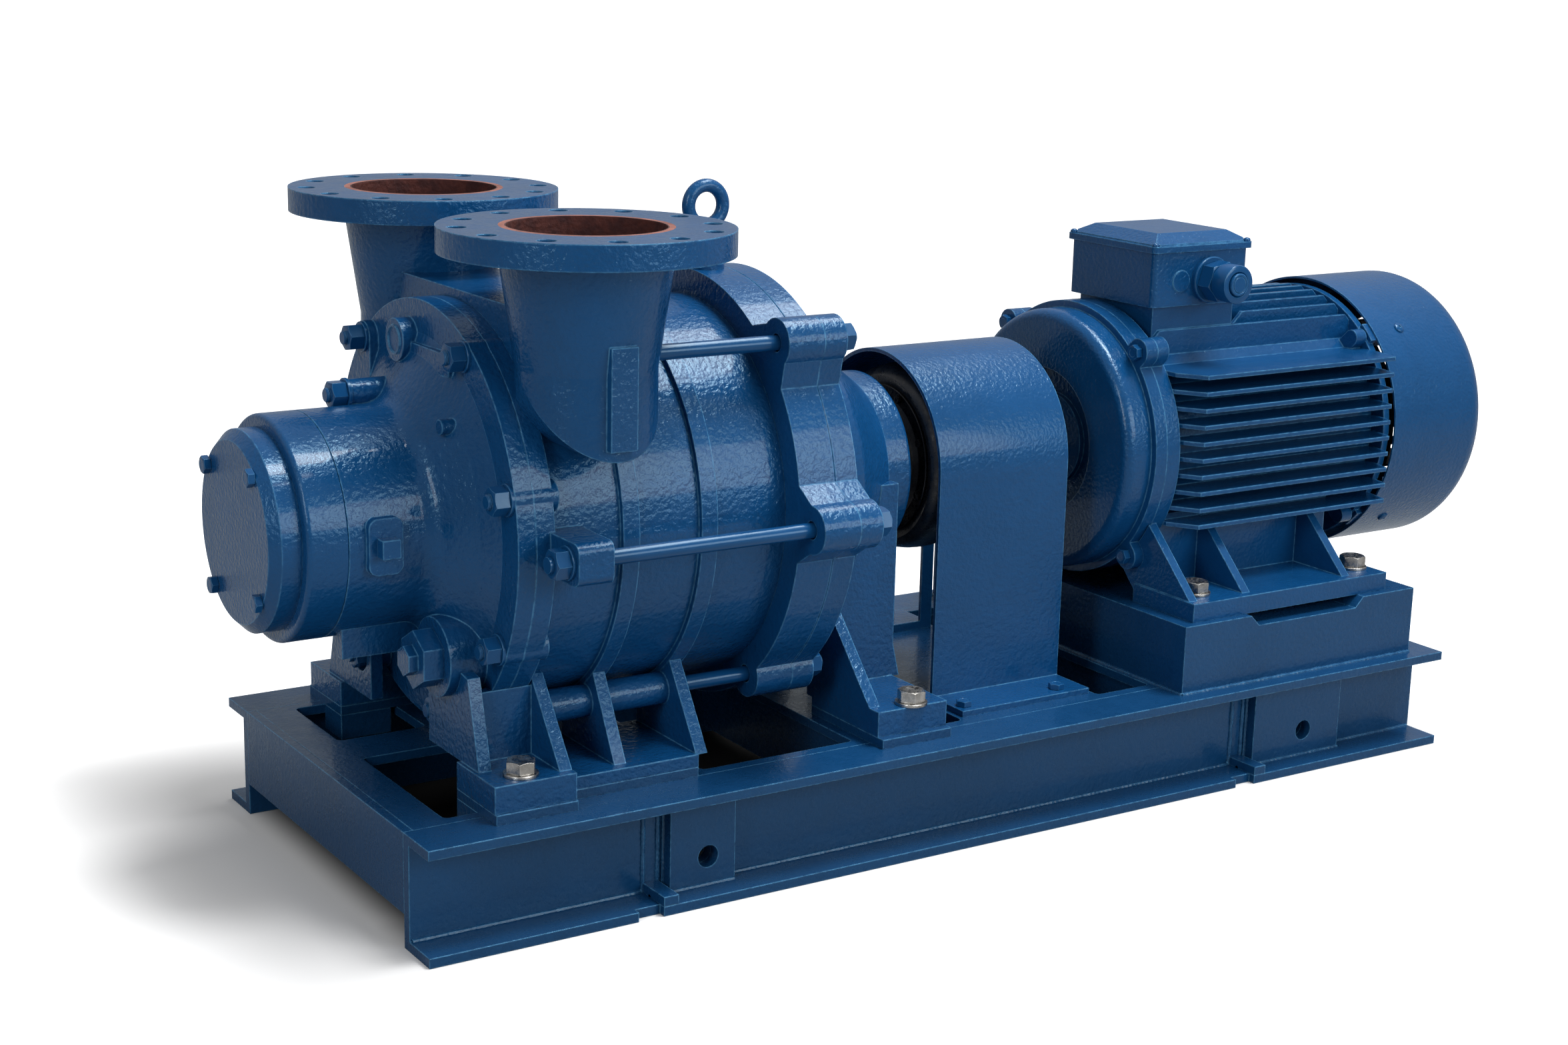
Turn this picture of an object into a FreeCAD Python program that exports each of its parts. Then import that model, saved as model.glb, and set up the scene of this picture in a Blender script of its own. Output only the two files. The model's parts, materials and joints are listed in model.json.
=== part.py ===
import FreeCAD, Part
import math
import os
import Sketcher

# A liquid ring vacuum pump set: pump, flexible coupling under a guard, and a
# foot-mounted fan-cooled motor, all on one welded base frame.
#
# Millimetres. Lengths along the set are measured from the left end of the base
# frame, heights on the base from the floor, and heights on the pump and motor
# from the shaft axis. The last Placement of each sub-part carries it into the
# set's own frame: origin on the floor under the middle of the whole set, +X from
# pump to motor, +Z up.

SIZES = {
    # Base frame
    "base_width": 625.0,
    "base_height": 140.0,
    "beam_flange_thickness": 12.0,
    "beam_web_thickness": 14.0,
    "beam_flange_reach": 53.5,
    "end_plate_thickness": 12.0,
    "end_plate_lift": 41.0,
    "end_strip_width": 58.0,
    "deck_thickness": 12.0,
    "deck_ledge_width": 84.0,
    "center_strip_start": 8.0,
    "center_strip_width": 74.0,
    "bay_corner_radius": 8.0,
    "bay_margin": 15.0,
    "cross_member_depth": 86.0,
    "cross_member_thickness": 10.0,
    "base_end_margin": 43.0,
    "front_lift_plate_start": 330.0,
    "front_lift_plate_length": 91.0,
    "rear_lift_plate_length": 165.0,
    "lift_plate_proud": 18.0,
    "lift_hole_inset": 53.0,
    "lift_hole_spacing": 987.0,
    "lift_hole_height": 48.0,
    "lift_hole_radius": 14.0,
    "flange_bar_width": 20.0,
    "flange_bar_height": 12.0,
    "flange_bar_gap": 8.0,
    "flange_notch_length": 34.0,
    "flange_notch_depth": 10.0,
    # Shaft line
    "shaft_height": 445.0,
    "seam_from_base_end": 162.0,
    "cover_length": 174.0,
    "bearing_ring_length": 49.5,
    "end_cap_length": 36.5,
    "casing_length": 343.0,
    "rear_plate_thickness": 52.0,
    "rear_rim_thickness": 32.0,
    "rear_cover_length": 223.0,
    "guard_gap": 25.0,
    "guard_length": 213.0,
    "motor_gap": 76.0,
    # Pump front cover and front bearing
    "housing_radius": 135.0,
    "cover_rim_radius": 257.5,
    "cover_rim_thickness": 23.0,
    "cover_flare_length": 70.0,
    "cover_shoulder_radius": 188.0,
    "cover_step": 13.0,
    "cover_face_radius": 217.0,
    "cover_chamber_radius": 206.0,
    "flare_round": 26.0,
    "cast_round": 6.0,
    "bearing_outer_radius": 70.0,
    "bearing_inner_radius": 32.5,
    "bearing_width": 33.0,
    "race_wall": 9.0,
    "stuffing_box_radius": 56.0,
    "stuffing_box_length": 62.0,
    "packing_ring_width": 12.0,
    "end_cap_radius": 120.0,
    "end_cap_wall": 14.0,
    "end_cap_bolt_circle_radius": 102.0,
    "end_cap_bolt_flats": 19.0,
    "end_cap_bolt_head": 9.0,
    "cover_bolt_circle_radius": 240.0,
    "cover_bolt_flats": 30.0,
    "cover_bolt_head": 19.0,
    "cover_washer_radius": 20.0,
    "cover_washer_thickness": 4.0,
    "cover_lug_radius": 19.0,
    "cover_lug_length": 32.0,
    "side_boss_length": 42.0,
    "side_boss_height": 67.0,
    "side_boss_proud": 7.0,
    "side_boss_round": 11.0,
    "upper_pad_proud": 12.0,
    "lower_pad_proud": 22.0,
    "round_pad_radius": 26.0,
    "round_pad_proud": 20.0,
    "round_pad_y": 31.0,
    "round_pad_z": 206.0,
    "small_pad_radius": 9.0,
    "small_pad_y": 121.0,
    "small_pad_z": 128.0,
    "stud_boss_lead": 74.0,
    "stud_boss_radius": 17.0,
    "stud_boss_y": 43.0,
    "stud_boss_z": 143.0,
    "cover_stud_radius": 9.0,
    "cover_stud_proud": 5.0,
    "side_plug_side": 22.0,
    "side_plug_proud": 16.0,
    "drain_y": 129.0,
    "drain_drop": 143.0,
    "drain_boss_radius": 48.0,
    "drain_hex_flats": 62.0,
    "drain_hex_height": 26.0,
    "drain_core_flats": 32.0,
    "drain_core_height": 12.0,
    # Pump casing and its branches
    "casing_radius": 243.0,
    "casing_bore_radius": 202.0,
    "ring_eccentricity": 18.0,
    "port_plate_radius": 228.0,
    "port_plate_thickness": 18.0,
    "manifold_radius": 206.0,
    "manifold_length": 127.0,
    "casing_flange_thickness": 24.0,
    "casing_rib_radius": 250.0,
    "casing_rib_start": 116.0,
    "casing_rib_width": 22.0,
    "casing_rib_spacing": 105.5,
    "branch_x": 83.0,
    "branch_y": 219.0,
    "branch_flange_height": 365.0,
    "branch_flange_radius": 170.0,
    "branch_flange_thickness": 30.0,
    "branch_bolt_circle_radius": 147.5,
    "branch_bolt_hole_radius": 11.0,
    "branch_bore_radius": 91.0,
    "branch_bore_length": 32.0,
    "branch_throat_radius": 70.0,
    "branch_top_radius": 101.0,
    "branch_waist_radius": 82.0,
    "branch_taper_length": 130.0,
    "branch_bottom": 108.0,
    "branch_duct_low": 163.0,
    "branch_panel_width": 34.0,
    "branch_panel_low": 122.0,
    "branch_panel_height": 118.0,
    "branch_panel_proud": 9.0,
    "saddle_height": 268.0,
    "saddle_half_length": 62.0,
    "saddle_inset": 40.0,
    # Tie rods
    "tie_rod_radius": 9.5,
    "tie_circle_radius": 300.0,
    "lower_tie_circle_radius": 268.0,
    "upper_tie_angle": 45.0,
    "lower_tie_angle": -54.0,
    "tie_hole_clearance": 1.5,
    "tie_lug_start": 18.0,
    "tie_lug_length": 45.0,
    "tie_lug_half_height": 25.0,
    "tie_lug_round": 12.0,
    "tie_lobe_radius": 30.0,
    "tie_sleeve_radius": 20.0,
    "tie_nut_flats": 32.0,
    "tie_nut_height": 18.0,
    "tie_washer_radius": 20.0,
    "tie_washer_thickness": 4.0,
    "tie_end_proud": 5.0,
    # Pump rear plate, rear cover and stand
    "rear_plate_radius": 275.0,
    "rear_bell_radius": 200.0,
    "rear_shoulder_radius": 176.0,
    "rear_shoulder_length": 78.0,
    "rear_hub_radius": 122.0,
    "rear_hub_length": 38.0,
    "rear_chamber_radius": 168.0,
    "rear_wall": 38.0,
    "eye_ring_radius": 25.0,
    "eye_bar_radius": 8.5,
    "eye_height": 353.0,
    # Pump feet
    "foot_pad_thickness": 12.0,
    "foot_pad_inner_y": 174.0,
    "foot_pad_outer_y": 279.0,
    "foot_block_height": 33.0,
    "foot_block_outer_y": 275.0,
    "front_foot_lead": 62.0,
    "front_foot_length": 105.0,
    "foot_rib_thickness": 16.0,
    "foot_wall_thickness": 14.0,
    "casing_foot_length": 181.0,
    "casing_foot_base": 16.0,
    "casing_foot_inner_y": 96.0,
    "casing_foot_outer_y": 246.0,
    "rear_foot_lead": 141.0,
    "rear_foot_length": 106.0,
    "rear_foot_inner_y": 110.0,
    "rear_foot_outer_y": 262.0,
    "rear_leg_thickness": 22.0,
    "rear_leg_outer_y": 140.0,
    "foot_bolt_y": 250.0,
    "foot_bolt_flats": 32.0,
    "foot_bolt_head": 15.0,
    "foot_bolt_radius": 10.0,
    "foot_bolt_clearance": 1.0,
    "foot_washer_radius": 21.0,
    "foot_washer_thickness": 4.0,
    # Pump rotor
    "pump_shaft_radius": 40.0,
    "shaft_clearance": 0.05,
    "impeller_radius": 178.0,
    "impeller_hub_radius": 72.0,
    "impeller_side_clearance": 0.6,
    "impeller_blade_count": 12.0,
    "impeller_blade_thickness": 8.0,
    # Coupling and guard
    "coupling_offset": 78.0,
    "tyre_width": 84.0,
    "tyre_radius": 128.0,
    "tyre_wall": 14.0,
    "tyre_foot_radius": 84.0,
    "coupling_flange_radius": 104.0,
    "coupling_flange_thickness": 12.0,
    "coupling_hub_radius": 52.0,
    "coupling_shaft_radius": 30.0,
    "pump_hub_length": 46.0,
    "motor_hub_length": 108.0,
    "guard_radius": 150.0,
    "guard_sheet": 5.0,
    "guard_foot_reach": 69.0,
    "guard_foot_thickness": 8.0,
    "guard_window_margin": 20.0,
    "guard_window_low": 12.0,
    "guard_window_high": 165.0,
    "guard_bolt_y": 199.0,
    "guard_bolt_inset": 16.0,
    "guard_bolt_spacing": 156.0,
    "guard_bolt_flats": 19.0,
    "guard_bolt_head": 8.0,
    # Motor pedestal
    "pedestal_lead": 31.0,
    "pedestal_length": 436.0,
    "pedestal_width": 574.0,
    "pedestal_height": 96.0,
    "pedestal_wall": 12.0,
    "pedestal_notch_start": 120.0,
    "pedestal_notch_length": 200.0,
    "pedestal_notch_depth": 15.0,
    # Motor
    "shield_radius": 194.0,
    "shield_body_radius": 184.0,
    "shield_length": 62.0,
    "shield_face_length": 15.0,
    "shield_recess_radius": 102.0,
    "shield_recess_depth": 22.0,
    "shield_wall": 16.0,
    "frame_flange_radius": 194.0,
    "frame_flange_length": 23.0,
    "barrel_radius": 168.0,
    "barrel_wall": 12.0,
    "barrel_length": 417.0,
    "rear_shield_length": 20.0,
    "fin_thickness": 6.0,
    "fin_pitch": 23.3,
    "fin_side_count": 10.0,
    "fin_side_reach": 213.0,
    "fin_top_height": 114.0,
    "fin_top_radius": 194.0,
    "fin_front_slope": 26.0,
    "fin_rear_slope": 9.0,
    "foot_rib_lead": 3.0,
    "ear_radius": 19.0,
    "ear_circle_radius": 203.0,
    "ear_length": 20.0,
    "rear_ear_radius": 12.0,
    "rear_ear_circle_radius": 188.0,
    "ear_bolt_flats": 19.0,
    "ear_bolt_head": 10.0,
    "motor_foot_lead": 54.0,
    "motor_foot_length": 367.0,
    "motor_foot_inner_y": 150.0,
    "motor_foot_outer_y": 275.0,
    "motor_foot_thickness": 26.0,
    "motor_foot_rib_thickness": 14.0,
    "motor_bolt_inset": 40.0,
    "motor_bolt_spacing": 301.0,
    "motor_bolt_y": 232.0,
    "stator_bore_radius": 101.0,
    "stator_length": 250.0,
    "winding_overhang": 38.0,
    "air_gap": 0.6,
    "rotor_length": 252.0,
    "motor_shaft_radius": 42.0,
    "motor_bearing_outer_radius": 65.0,
    "motor_bearing_inner_radius": 30.0,
    "motor_bearing_width": 31.0,
    "shaft_end_reach": 134.0,
    "fan_radius": 171.0,
    "bracket_half_width": 15.0,
    "fan_hub_radius": 46.0,
    "fan_width": 52.0,
    "fan_gap": 20.0,
    "fan_blade_count": 9.0,
    "fan_blade_thickness": 4.0,
    "cowl_radius": 202.5,
    "cowl_sheet": 3.0,
    "cowl_length": 196.0,
    "cowl_gap": 14.0,
    "cowl_air_gap": 7.0,
    "cowl_round": 34.0,
    "cowl_slot_rings": 4.0,
    "cowl_slot_width": 13.0,
    "cowl_slot_pitch": 26.0,
    "cowl_screw_lead": 53.0,
    "cowl_screw_radius": 8.0,
    "cowl_screw_head": 5.0,
    # Terminal box
    "box_lead": 88.0,
    "box_length": 173.0,
    "box_near_y": 115.0,
    "box_far_y": 65.0,
    "box_floor": 197.0,
    "box_height": 76.0,
    "box_wall": 6.0,
    "box_corner_radius": 8.0,
    "box_neck_inset": 12.0,
    "lid_height": 24.0,
    "lid_rim": 9.0,
    "lid_bevel": 22.0,
    "lid_overhang": 5.0,
    "lid_screw_radius": 5.0,
    "lid_screw_head": 5.0,
    "gland_x": 102.0,
    "gland_height": 35.0,
    "gland_flats": 50.0,
    "gland_flange_radius": 33.0,
    "gland_flange_thickness": 8.0,
    "gland_length": 26.0,
    "gland_cap_radius": 27.0,
    "gland_cap_length": 26.0,
    "gland_plug_radius": 16.0,
    "gland_plug_proud": 3.0,
    "knockout_x": 50.0,
    "knockout_radius": 15.0,
    "knockout_proud": 1.5,
}

NEAR = -1
FAR = 1
SIDES = (NEAR, FAR)


class Size:
    """A length, angle or count with the sheet expression that gives it."""

    def __init__(self, text, value):
        self.text = text
        self.value = float(value)

    def __float__(self):
        return self.value

    def __add__(self, other):
        return Size(f"({self.text} + {text_of(other)})", self.value + float(other))

    def __radd__(self, other):
        return Size(f"({text_of(other)} + {self.text})", float(other) + self.value)

    def __sub__(self, other):
        return Size(f"({self.text} - {text_of(other)})", self.value - float(other))

    def __rsub__(self, other):
        return Size(f"({text_of(other)} - {self.text})", float(other) - self.value)

    def __mul__(self, other):
        return Size(f"({self.text} * {text_of(other)})", self.value * float(other))

    def __rmul__(self, other):
        return self * other

    def __truediv__(self, other):
        return Size(f"({self.text} / {text_of(other)})", self.value / float(other))

    def __neg__(self):
        return Size(f"(-1 * {self.text})", -self.value)


def text_of(size):
    """Expression text of a size or a plain number."""
    if isinstance(size, Size):
        return size.text
    return f"({float(size):.6f})"


def cosine(angle):
    """Cosine of an angle in degrees."""
    return Size(f"cos({text_of(angle)} * 1 deg)", math.cos(math.radians(float(angle))))


def sine(angle):
    """Sine of an angle in degrees."""
    return Size(f"sin({text_of(angle)} * 1 deg)", math.sin(math.radians(float(angle))))


def root(size):
    """Square root of a size."""
    return Size(f"sqrt({text_of(size)})", math.sqrt(float(size)))


class Sheet:
    """The spreadsheet of driving sizes, each read by its alias."""

    def __init__(self, document, sizes):
        self.cells = document.addObject("Spreadsheet::Sheet", "Sizes")
        self.sizes = sizes
        for row, (alias, value) in enumerate(sizes.items(), start=1):
            self.cells.set(f"A{row}", alias)
            self.cells.set(f"B{row}", str(value))
            self.cells.setAlias(f"B{row}", alias)

    def __getattr__(self, alias):
        return Size(f"Sizes.{alias}", self.sizes[alias])


doc = FreeCAD.newDocument("LiquidRingPumpSet")
s = Sheet(doc, SIZES)
doc.recompute()

TURN_TO_AXIS = {
    "X": FreeCAD.Rotation(FreeCAD.Vector(0, 1, 0), 90),
    "Y": FreeCAD.Rotation(FreeCAD.Vector(1, 0, 0), -90),
    "Z": FreeCAD.Rotation(),
}
SUBPARTS = []


def bind(feature, **sizes):
    """Tie properties of a feature to the sheet."""
    for name, size in sizes.items():
        feature.setExpression(name, text_of(size))


def locate(feature, x=0, y=0, z=0):
    """Tie a feature's position to the sheet."""
    feature.setExpression("Placement.Base.x", text_of(x))
    feature.setExpression("Placement.Base.y", text_of(y))
    feature.setExpression("Placement.Base.z", text_of(z))


def block(x, y, z):
    """Box between two planes along each axis, each given as (low, high)."""
    feature = doc.addObject("Part::Box", "Block")
    bind(feature, Length=x[1] - x[0], Width=y[1] - y[0], Height=z[1] - z[0])
    locate(feature, x[0], y[0], z[0])
    return feature


def across(side, inner, outer):
    """The (low, high) pair along Y for a piece on one side of the shaft."""
    if side == FAR:
        return inner, outer
    return -outer, -inner


def bar(axis, radius, length, x=0, y=0, z=0):
    """Round bar from a point along one axis."""
    feature = doc.addObject("Part::Cylinder", "Bar")
    bind(feature, Radius=radius, Height=length)
    feature.Placement.Rotation = TURN_TO_AXIS[axis]
    locate(feature, x, y, z)
    return feature


def taper(axis, start_radius, end_radius, length, x=0, y=0, z=0):
    """Round taper from a point along one axis."""
    feature = doc.addObject("Part::Cone", "Taper")
    bind(feature, Radius1=start_radius, Radius2=end_radius, Height=length)
    feature.Placement.Rotation = TURN_TO_AXIS[axis]
    locate(feature, x, y, z)
    return feature


def hexagon(axis, flats, length, x=0, y=0, z=0):
    """Hexagonal bar from a point along one axis."""
    feature = doc.addObject("Part::Prism", "Hexagon")
    feature.Polygon = 6
    bind(feature, Circumradius=flats / math.sqrt(3.0), Height=length)
    feature.Placement.Rotation = TURN_TO_AXIS[axis]
    locate(feature, x, y, z)
    return feature


def fuse(*pieces):
    """Pieces that are one casting, weldment or turned part."""
    feature = doc.addObject("Part::MultiFuse", "Union")
    feature.Shapes = list(pieces)
    feature.Refine = True
    return feature


def cut(base, *tools):
    """A piece with one or more others taken out of it."""
    feature = doc.addObject("Part::Cut", "Cut")
    feature.Base = base
    feature.Tool = tools[0] if len(tools) == 1 else loose(*tools)
    feature.Refine = True
    return feature


def common(first, second):
    """What two pieces share."""
    feature = doc.addObject("Part::Common", "Common")
    feature.Base = first
    feature.Tool = second
    return feature


def loose(*pieces):
    """Separate solids kept together."""
    feature = doc.addObject("Part::Compound", "Group")
    feature.Links = list(pieces)
    return feature


def mirrored(piece):
    """The same piece on the other side of the shaft."""
    feature = doc.addObject("Part::Mirroring", "Mirror")
    feature.Source = piece
    feature.Normal = FreeCAD.Vector(0, 1, 0)
    return feature


def both(piece):
    """A piece and its mirror image across the shaft, as separate solids."""
    return loose(piece, mirrored(piece))


def closed_outline(sketch, points):
    """Closed polygon with every corner tied to the sheet."""
    corners = [FreeCAD.Vector(float(u), float(v), 0) for u, v in points]
    following = corners[1:] + corners[:1]
    for start, end in zip(corners, following):
        sketch.addGeometry(Part.LineSegment(start, end), False)
    count = len(points)
    for index in range(count):
        joint = Sketcher.Constraint("Coincident", index, 2, (index + 1) % count, 1)
        sketch.addConstraint(joint)
    for index, (u, v) in enumerate(points):
        for kind, size in (("DistanceX", u), ("DistanceY", v)):
            number = sketch.addConstraint(Sketcher.Constraint(kind, index, 1, float(size)))
            sketch.setExpression(f"Constraints[{number}]", text_of(size))


def sketched_body(plane_role, points):
    """Body with one closed sketch on an origin plane."""
    body = doc.addObject("PartDesign::Body", "Body")
    plane = next(item for item in body.Origin.OriginFeatures if item.Role == plane_role)
    sketch = body.newObject("Sketcher::SketchObject", "Outline")
    sketch.AttachmentSupport = [(plane, "")]
    sketch.MapMode = "FlatFace"
    closed_outline(sketch, points)
    return body, sketch


def round_edges(body, wanted, radius):
    """Fillet the edges of a body's last feature that pass a test."""
    doc.recompute()
    last = body.Tip
    names = [f"Edge{n}" for n, edge in enumerate(last.Shape.Edges, start=1) if wanted(edge)]
    fillet = body.newObject("PartDesign::Fillet", "Round")
    fillet.Base = (last, names)
    bind(fillet, Radius=radius)
    body.Tip = fillet


def turned(points, rounds=(), about="H_Axis"):
    """Body turned about the X axis, or about the vertical with V_Axis.

    points are (along, radius) about X, or (radius, height) about the vertical;
    rounds are (point, fillet radius).
    """
    body, sketch = sketched_body("XZ_Plane", points)
    feature = body.newObject("PartDesign::Revolution", "Turning")
    feature.Profile = sketch
    feature.ReferenceAxis = (sketch, [about])
    feature.Angle = 360
    body.Tip = feature
    for (u, v), radius in rounds:
        along, reach = (float(u), float(v)) if about == "H_Axis" else (float(v), float(u))

        def on_circle(edge):
            """Whether an edge is the circle that this corner sweeps."""
            if not isinstance(edge.Curve, Part.Circle):
                return False
            center = edge.Curve.Center
            place = center.x if about == "H_Axis" else center.z
            return abs(edge.Curve.Radius - reach) < 1e-3 and abs(place - along) < 1e-3

        round_edges(body, on_circle, radius)
    return body


PLANE_NORMALS = {
    "XY_Plane": FreeCAD.Vector(0, 0, 1),
    "XZ_Plane": FreeCAD.Vector(0, 1, 0),
    "YZ_Plane": FreeCAD.Vector(1, 0, 0),
}


def plate(plane_role, points, thickness, start=0, corner_radius=None):
    """Flat piece cut to an outline, thick along its plane's normal from start."""
    body, sketch = sketched_body(plane_role, points)
    feature = body.newObject("PartDesign::Pad", "Thickness")
    feature.Profile = sketch
    bind(feature, Length=thickness)
    feature.Reversed = plane_role == "XZ_Plane"
    body.Tip = feature
    normal = PLANE_NORMALS[plane_role]
    if corner_radius is not None:
        round_edges(body, lambda edge: is_along(edge, normal), corner_radius)
    locate(body, *(start * component for component in normal))
    return body


def is_along(edge, direction):
    """Whether a straight edge runs along a direction."""
    if not isinstance(edge.Curve, Part.Line):
        return False
    return abs(abs(edge.Curve.Direction.dot(direction)) - 1.0) < 1e-6


def rectangle(low_u, high_u, low_v, high_v):
    """Corners of a rectangle."""
    return [(low_u, low_v), (high_u, low_v), (high_u, high_v), (low_u, high_v)]


def seated(name, feature, height=0):
    """Name a sub-part and set it at its place in the whole set."""
    feature.Label = name
    locate(feature, set_shift, 0, height)
    SUBPARTS.append(feature)
    return feature


def on_floor(name, feature):
    """Sub-part whose heights are measured from the floor."""
    return seated(name, feature, 0)


def on_shaft(name, feature):
    """Sub-part whose heights are measured from the shaft axis."""
    return seated(name, feature, s.shaft_height)


def hex_screws(axis, points, flats, head, washer_radius=None, washer=0, shank=None):
    """Hexagon heads on washers, each head standing from its point along +axis.

    shank is (radius, length) of the stretch that goes down behind the point.
    """
    pieces = []
    step = {"X": (1, 0, 0), "Y": (0, 1, 0), "Z": (0, 0, 1)}[axis]
    for x, y, z in points:
        parts = [hexagon(axis, flats, head, x + step[0] * washer, y + step[1] * washer, z + step[2] * washer)]
        if washer_radius is not None:
            parts.append(bar(axis, washer_radius, washer, x, y, z))
        if shank is not None:
            radius, length = shank
            parts.append(bar(axis, radius, length, x - step[0] * length, y - step[1] * length, z - step[2] * length))
        pieces.append(parts[0] if len(parts) == 1 else fuse(*parts))
    return loose(*pieces)

# Places along the set, each worked out from its neighbor's length.
seam = s.seam_from_base_end
cover_front = seam - s.cover_length
ring_front = cover_front - s.bearing_ring_length
cap_front = ring_front - s.end_cap_length
casing_end = seam + s.casing_length
rear_seam = casing_end + s.rear_plate_thickness
rear_rim_end = rear_seam + s.rear_rim_thickness
rear_end = rear_seam + s.rear_cover_length
guard_start = rear_end + s.guard_gap
guard_end = guard_start + s.guard_length
motor_start = guard_end + s.motor_gap
frame_start = motor_start + s.shield_length
barrel_end = frame_start + s.barrel_length
rear_shield_end = barrel_end + s.rear_shield_length
cowl_start = barrel_end + s.cowl_gap
cowl_end = cowl_start + s.cowl_length
pedestal_start = motor_start + s.pedestal_lead
pedestal_end = pedestal_start + s.pedestal_length
base_end = pedestal_end + s.base_end_margin
front_foot_start = seam - s.front_foot_lead
front_foot_end = front_foot_start + s.front_foot_length
casing_foot_end = front_foot_end + s.casing_foot_length
rear_foot_start = rear_end - s.rear_foot_lead
rear_foot_end = rear_foot_start + s.rear_foot_length

# Heights
pad_top = s.base_height + s.foot_pad_thickness
foot_top = pad_top + s.foot_block_height
pedestal_top = s.base_height + s.pedestal_height
deck_low = s.base_height - s.deck_thickness
foot_pad_level = pad_top - s.shaft_height
foot_top_level = foot_top - s.shaft_height
pedestal_level = pedestal_top - s.shaft_height

# The origin is under the middle of the whole set, from the front cap's bolt
# heads to the back of the fan cowl.
set_shift = -(cap_front - s.end_cap_bolt_head + cowl_end) / 2

half_base = s.base_width / 2
web_outer = half_base - s.beam_flange_reach
web_inner = web_outer - s.beam_web_thickness


# Base frame

def side_beam(side):
    """Channel with its flanges outward; its lower flange steps back at the lifting plates."""
    low = s.beam_flange_thickness
    high = s.base_height - s.beam_flange_thickness
    section = [
        (side * web_inner, 0),
        (side * half_base, 0),
        (side * half_base, low),
        (side * web_outer, low),
        (side * web_outer, high),
        (side * half_base, high),
        (side * half_base, s.base_height),
        (side * web_inner, s.base_height),
    ]
    channel = plate("YZ_Plane", section, base_end)
    tools = []
    for start, length, hole in lift_plate_places():
        tools.append(bar("Y", s.lift_hole_radius, s.base_width, hole, -half_base, s.lift_hole_height))
        notch_end = start - s.flange_bar_gap - s.flange_bar_width
        reach = across(side, half_base - s.flange_notch_depth, half_base + 1)
        tools.append(block((notch_end - s.flange_notch_length, notch_end), reach, (-1, low + 1)))
    return cut(channel, *tools)


def lift_plate_places():
    """(start, length, hole) of each lifting plate along the base."""
    front_hole = s.front_lift_plate_start + s.lift_hole_inset
    rear_hole = front_hole + s.lift_hole_spacing
    rear_start = rear_hole - s.rear_lift_plate_length * 0.58
    return [
        (s.front_lift_plate_start, s.front_lift_plate_length, front_hole),
        (rear_start, s.rear_lift_plate_length, rear_hole),
    ]


def lifting_plates():
    """Doubler plates round the lifting holes, and the bars welded across the flange beside them."""
    pieces = []
    for side in SIDES:
        for start, length, hole in lift_plate_places():
            low = s.beam_flange_thickness
            high = s.base_height - s.beam_flange_thickness
            doubler = block((start, start + length), across(side, web_outer, web_outer + s.lift_plate_proud), (low, high))
            drill = bar("Y", s.lift_hole_radius, s.base_width, hole, -half_base, s.lift_hole_height)
            bar_end = start - s.flange_bar_gap
            crossing = block(
                (bar_end - s.flange_bar_width, bar_end),
                across(side, web_outer, half_base),
                (low, low + s.flange_bar_height),
            )
            pieces.append(cut(doubler, drill))
            pieces.append(crossing)
    return loose(*pieces)


def end_plates():
    """Plates that close both ends of the frame between the beam webs."""
    pieces = []
    for start in (0, base_end - s.end_plate_thickness):
        reach = (-web_inner, web_inner)
        pieces.append(block((start, start + s.end_plate_thickness), reach, (s.end_plate_lift, s.base_height)))
    return loose(*pieces)


def deck_plate():
    """Top plate of the frame, with the bays left open in it."""
    start = s.end_plate_thickness
    deck = plate("XY_Plane", rectangle(start, base_end - start, -web_inner, web_inner), s.deck_thickness, deck_low)
    edge = half_base - s.deck_ledge_width
    strip_end = s.center_strip_start + s.center_strip_width
    bays = [
        (s.end_strip_width, seam + s.bay_margin, -edge, s.center_strip_start),
        (s.end_strip_width, seam + s.bay_margin, strip_end, edge),
        (casing_foot_end + s.bay_margin, rear_foot_start - s.bay_margin, -edge, edge),
        (rear_foot_end + s.bay_margin / 2, guard_start - s.bay_margin / 2, -edge, edge),
        (guard_end + s.bay_margin / 2, pedestal_start - s.bay_margin / 2, -edge, edge),
    ]
    openings = [
        plate("XY_Plane", rectangle(*bay), s.deck_thickness + 2, deck_low - 1, s.bay_corner_radius) for bay in bays
    ]
    return cut(deck, *openings)


def cross_members():
    """Flat bars on edge under the deck, one at each line of feet."""
    low = deck_low - s.cross_member_depth
    places = [
        casing_foot_end,
        rear_foot_start,
        guard_start + s.bay_margin,
        guard_end - s.bay_margin - s.cross_member_thickness,
        pedestal_start + s.bay_margin,
        pedestal_end - s.bay_margin,
    ]
    pieces = []
    for start in places:
        end = start + s.cross_member_thickness
        pieces.append(block((start, end), (-web_inner, web_inner), (low, deck_low)))
    return loose(*pieces)


def foot_pads():
    """Packing plates under the pump's feet, with the brackets that carry them over the bay."""
    pieces = []
    for side in SIDES:
        level = (s.base_height, pad_top)
        front = block(
            (front_foot_start, front_foot_end), across(side, s.foot_pad_inner_y, s.foot_pad_outer_y), level
        )
        middle = block(
            (front_foot_end, casing_foot_end), across(side, s.casing_foot_inner_y, s.casing_foot_outer_y), level
        )
        rear = block(
            (rear_foot_start, rear_foot_end),
            across(side, s.rear_foot_inner_y, s.rear_foot_outer_y + s.foot_pad_thickness),
            level,
        )
        hole_radius = s.foot_bolt_radius + s.foot_bolt_clearance
        for piece, x in ((front, front_bolt_x), (rear, rear_bolt_x)):
            hole = bar("Z", hole_radius, s.foot_pad_thickness, x, side * s.foot_bolt_y, s.base_height)
            pieces.append(cut(piece, hole))
        pieces.append(middle)
    return loose(*pieces)


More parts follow.
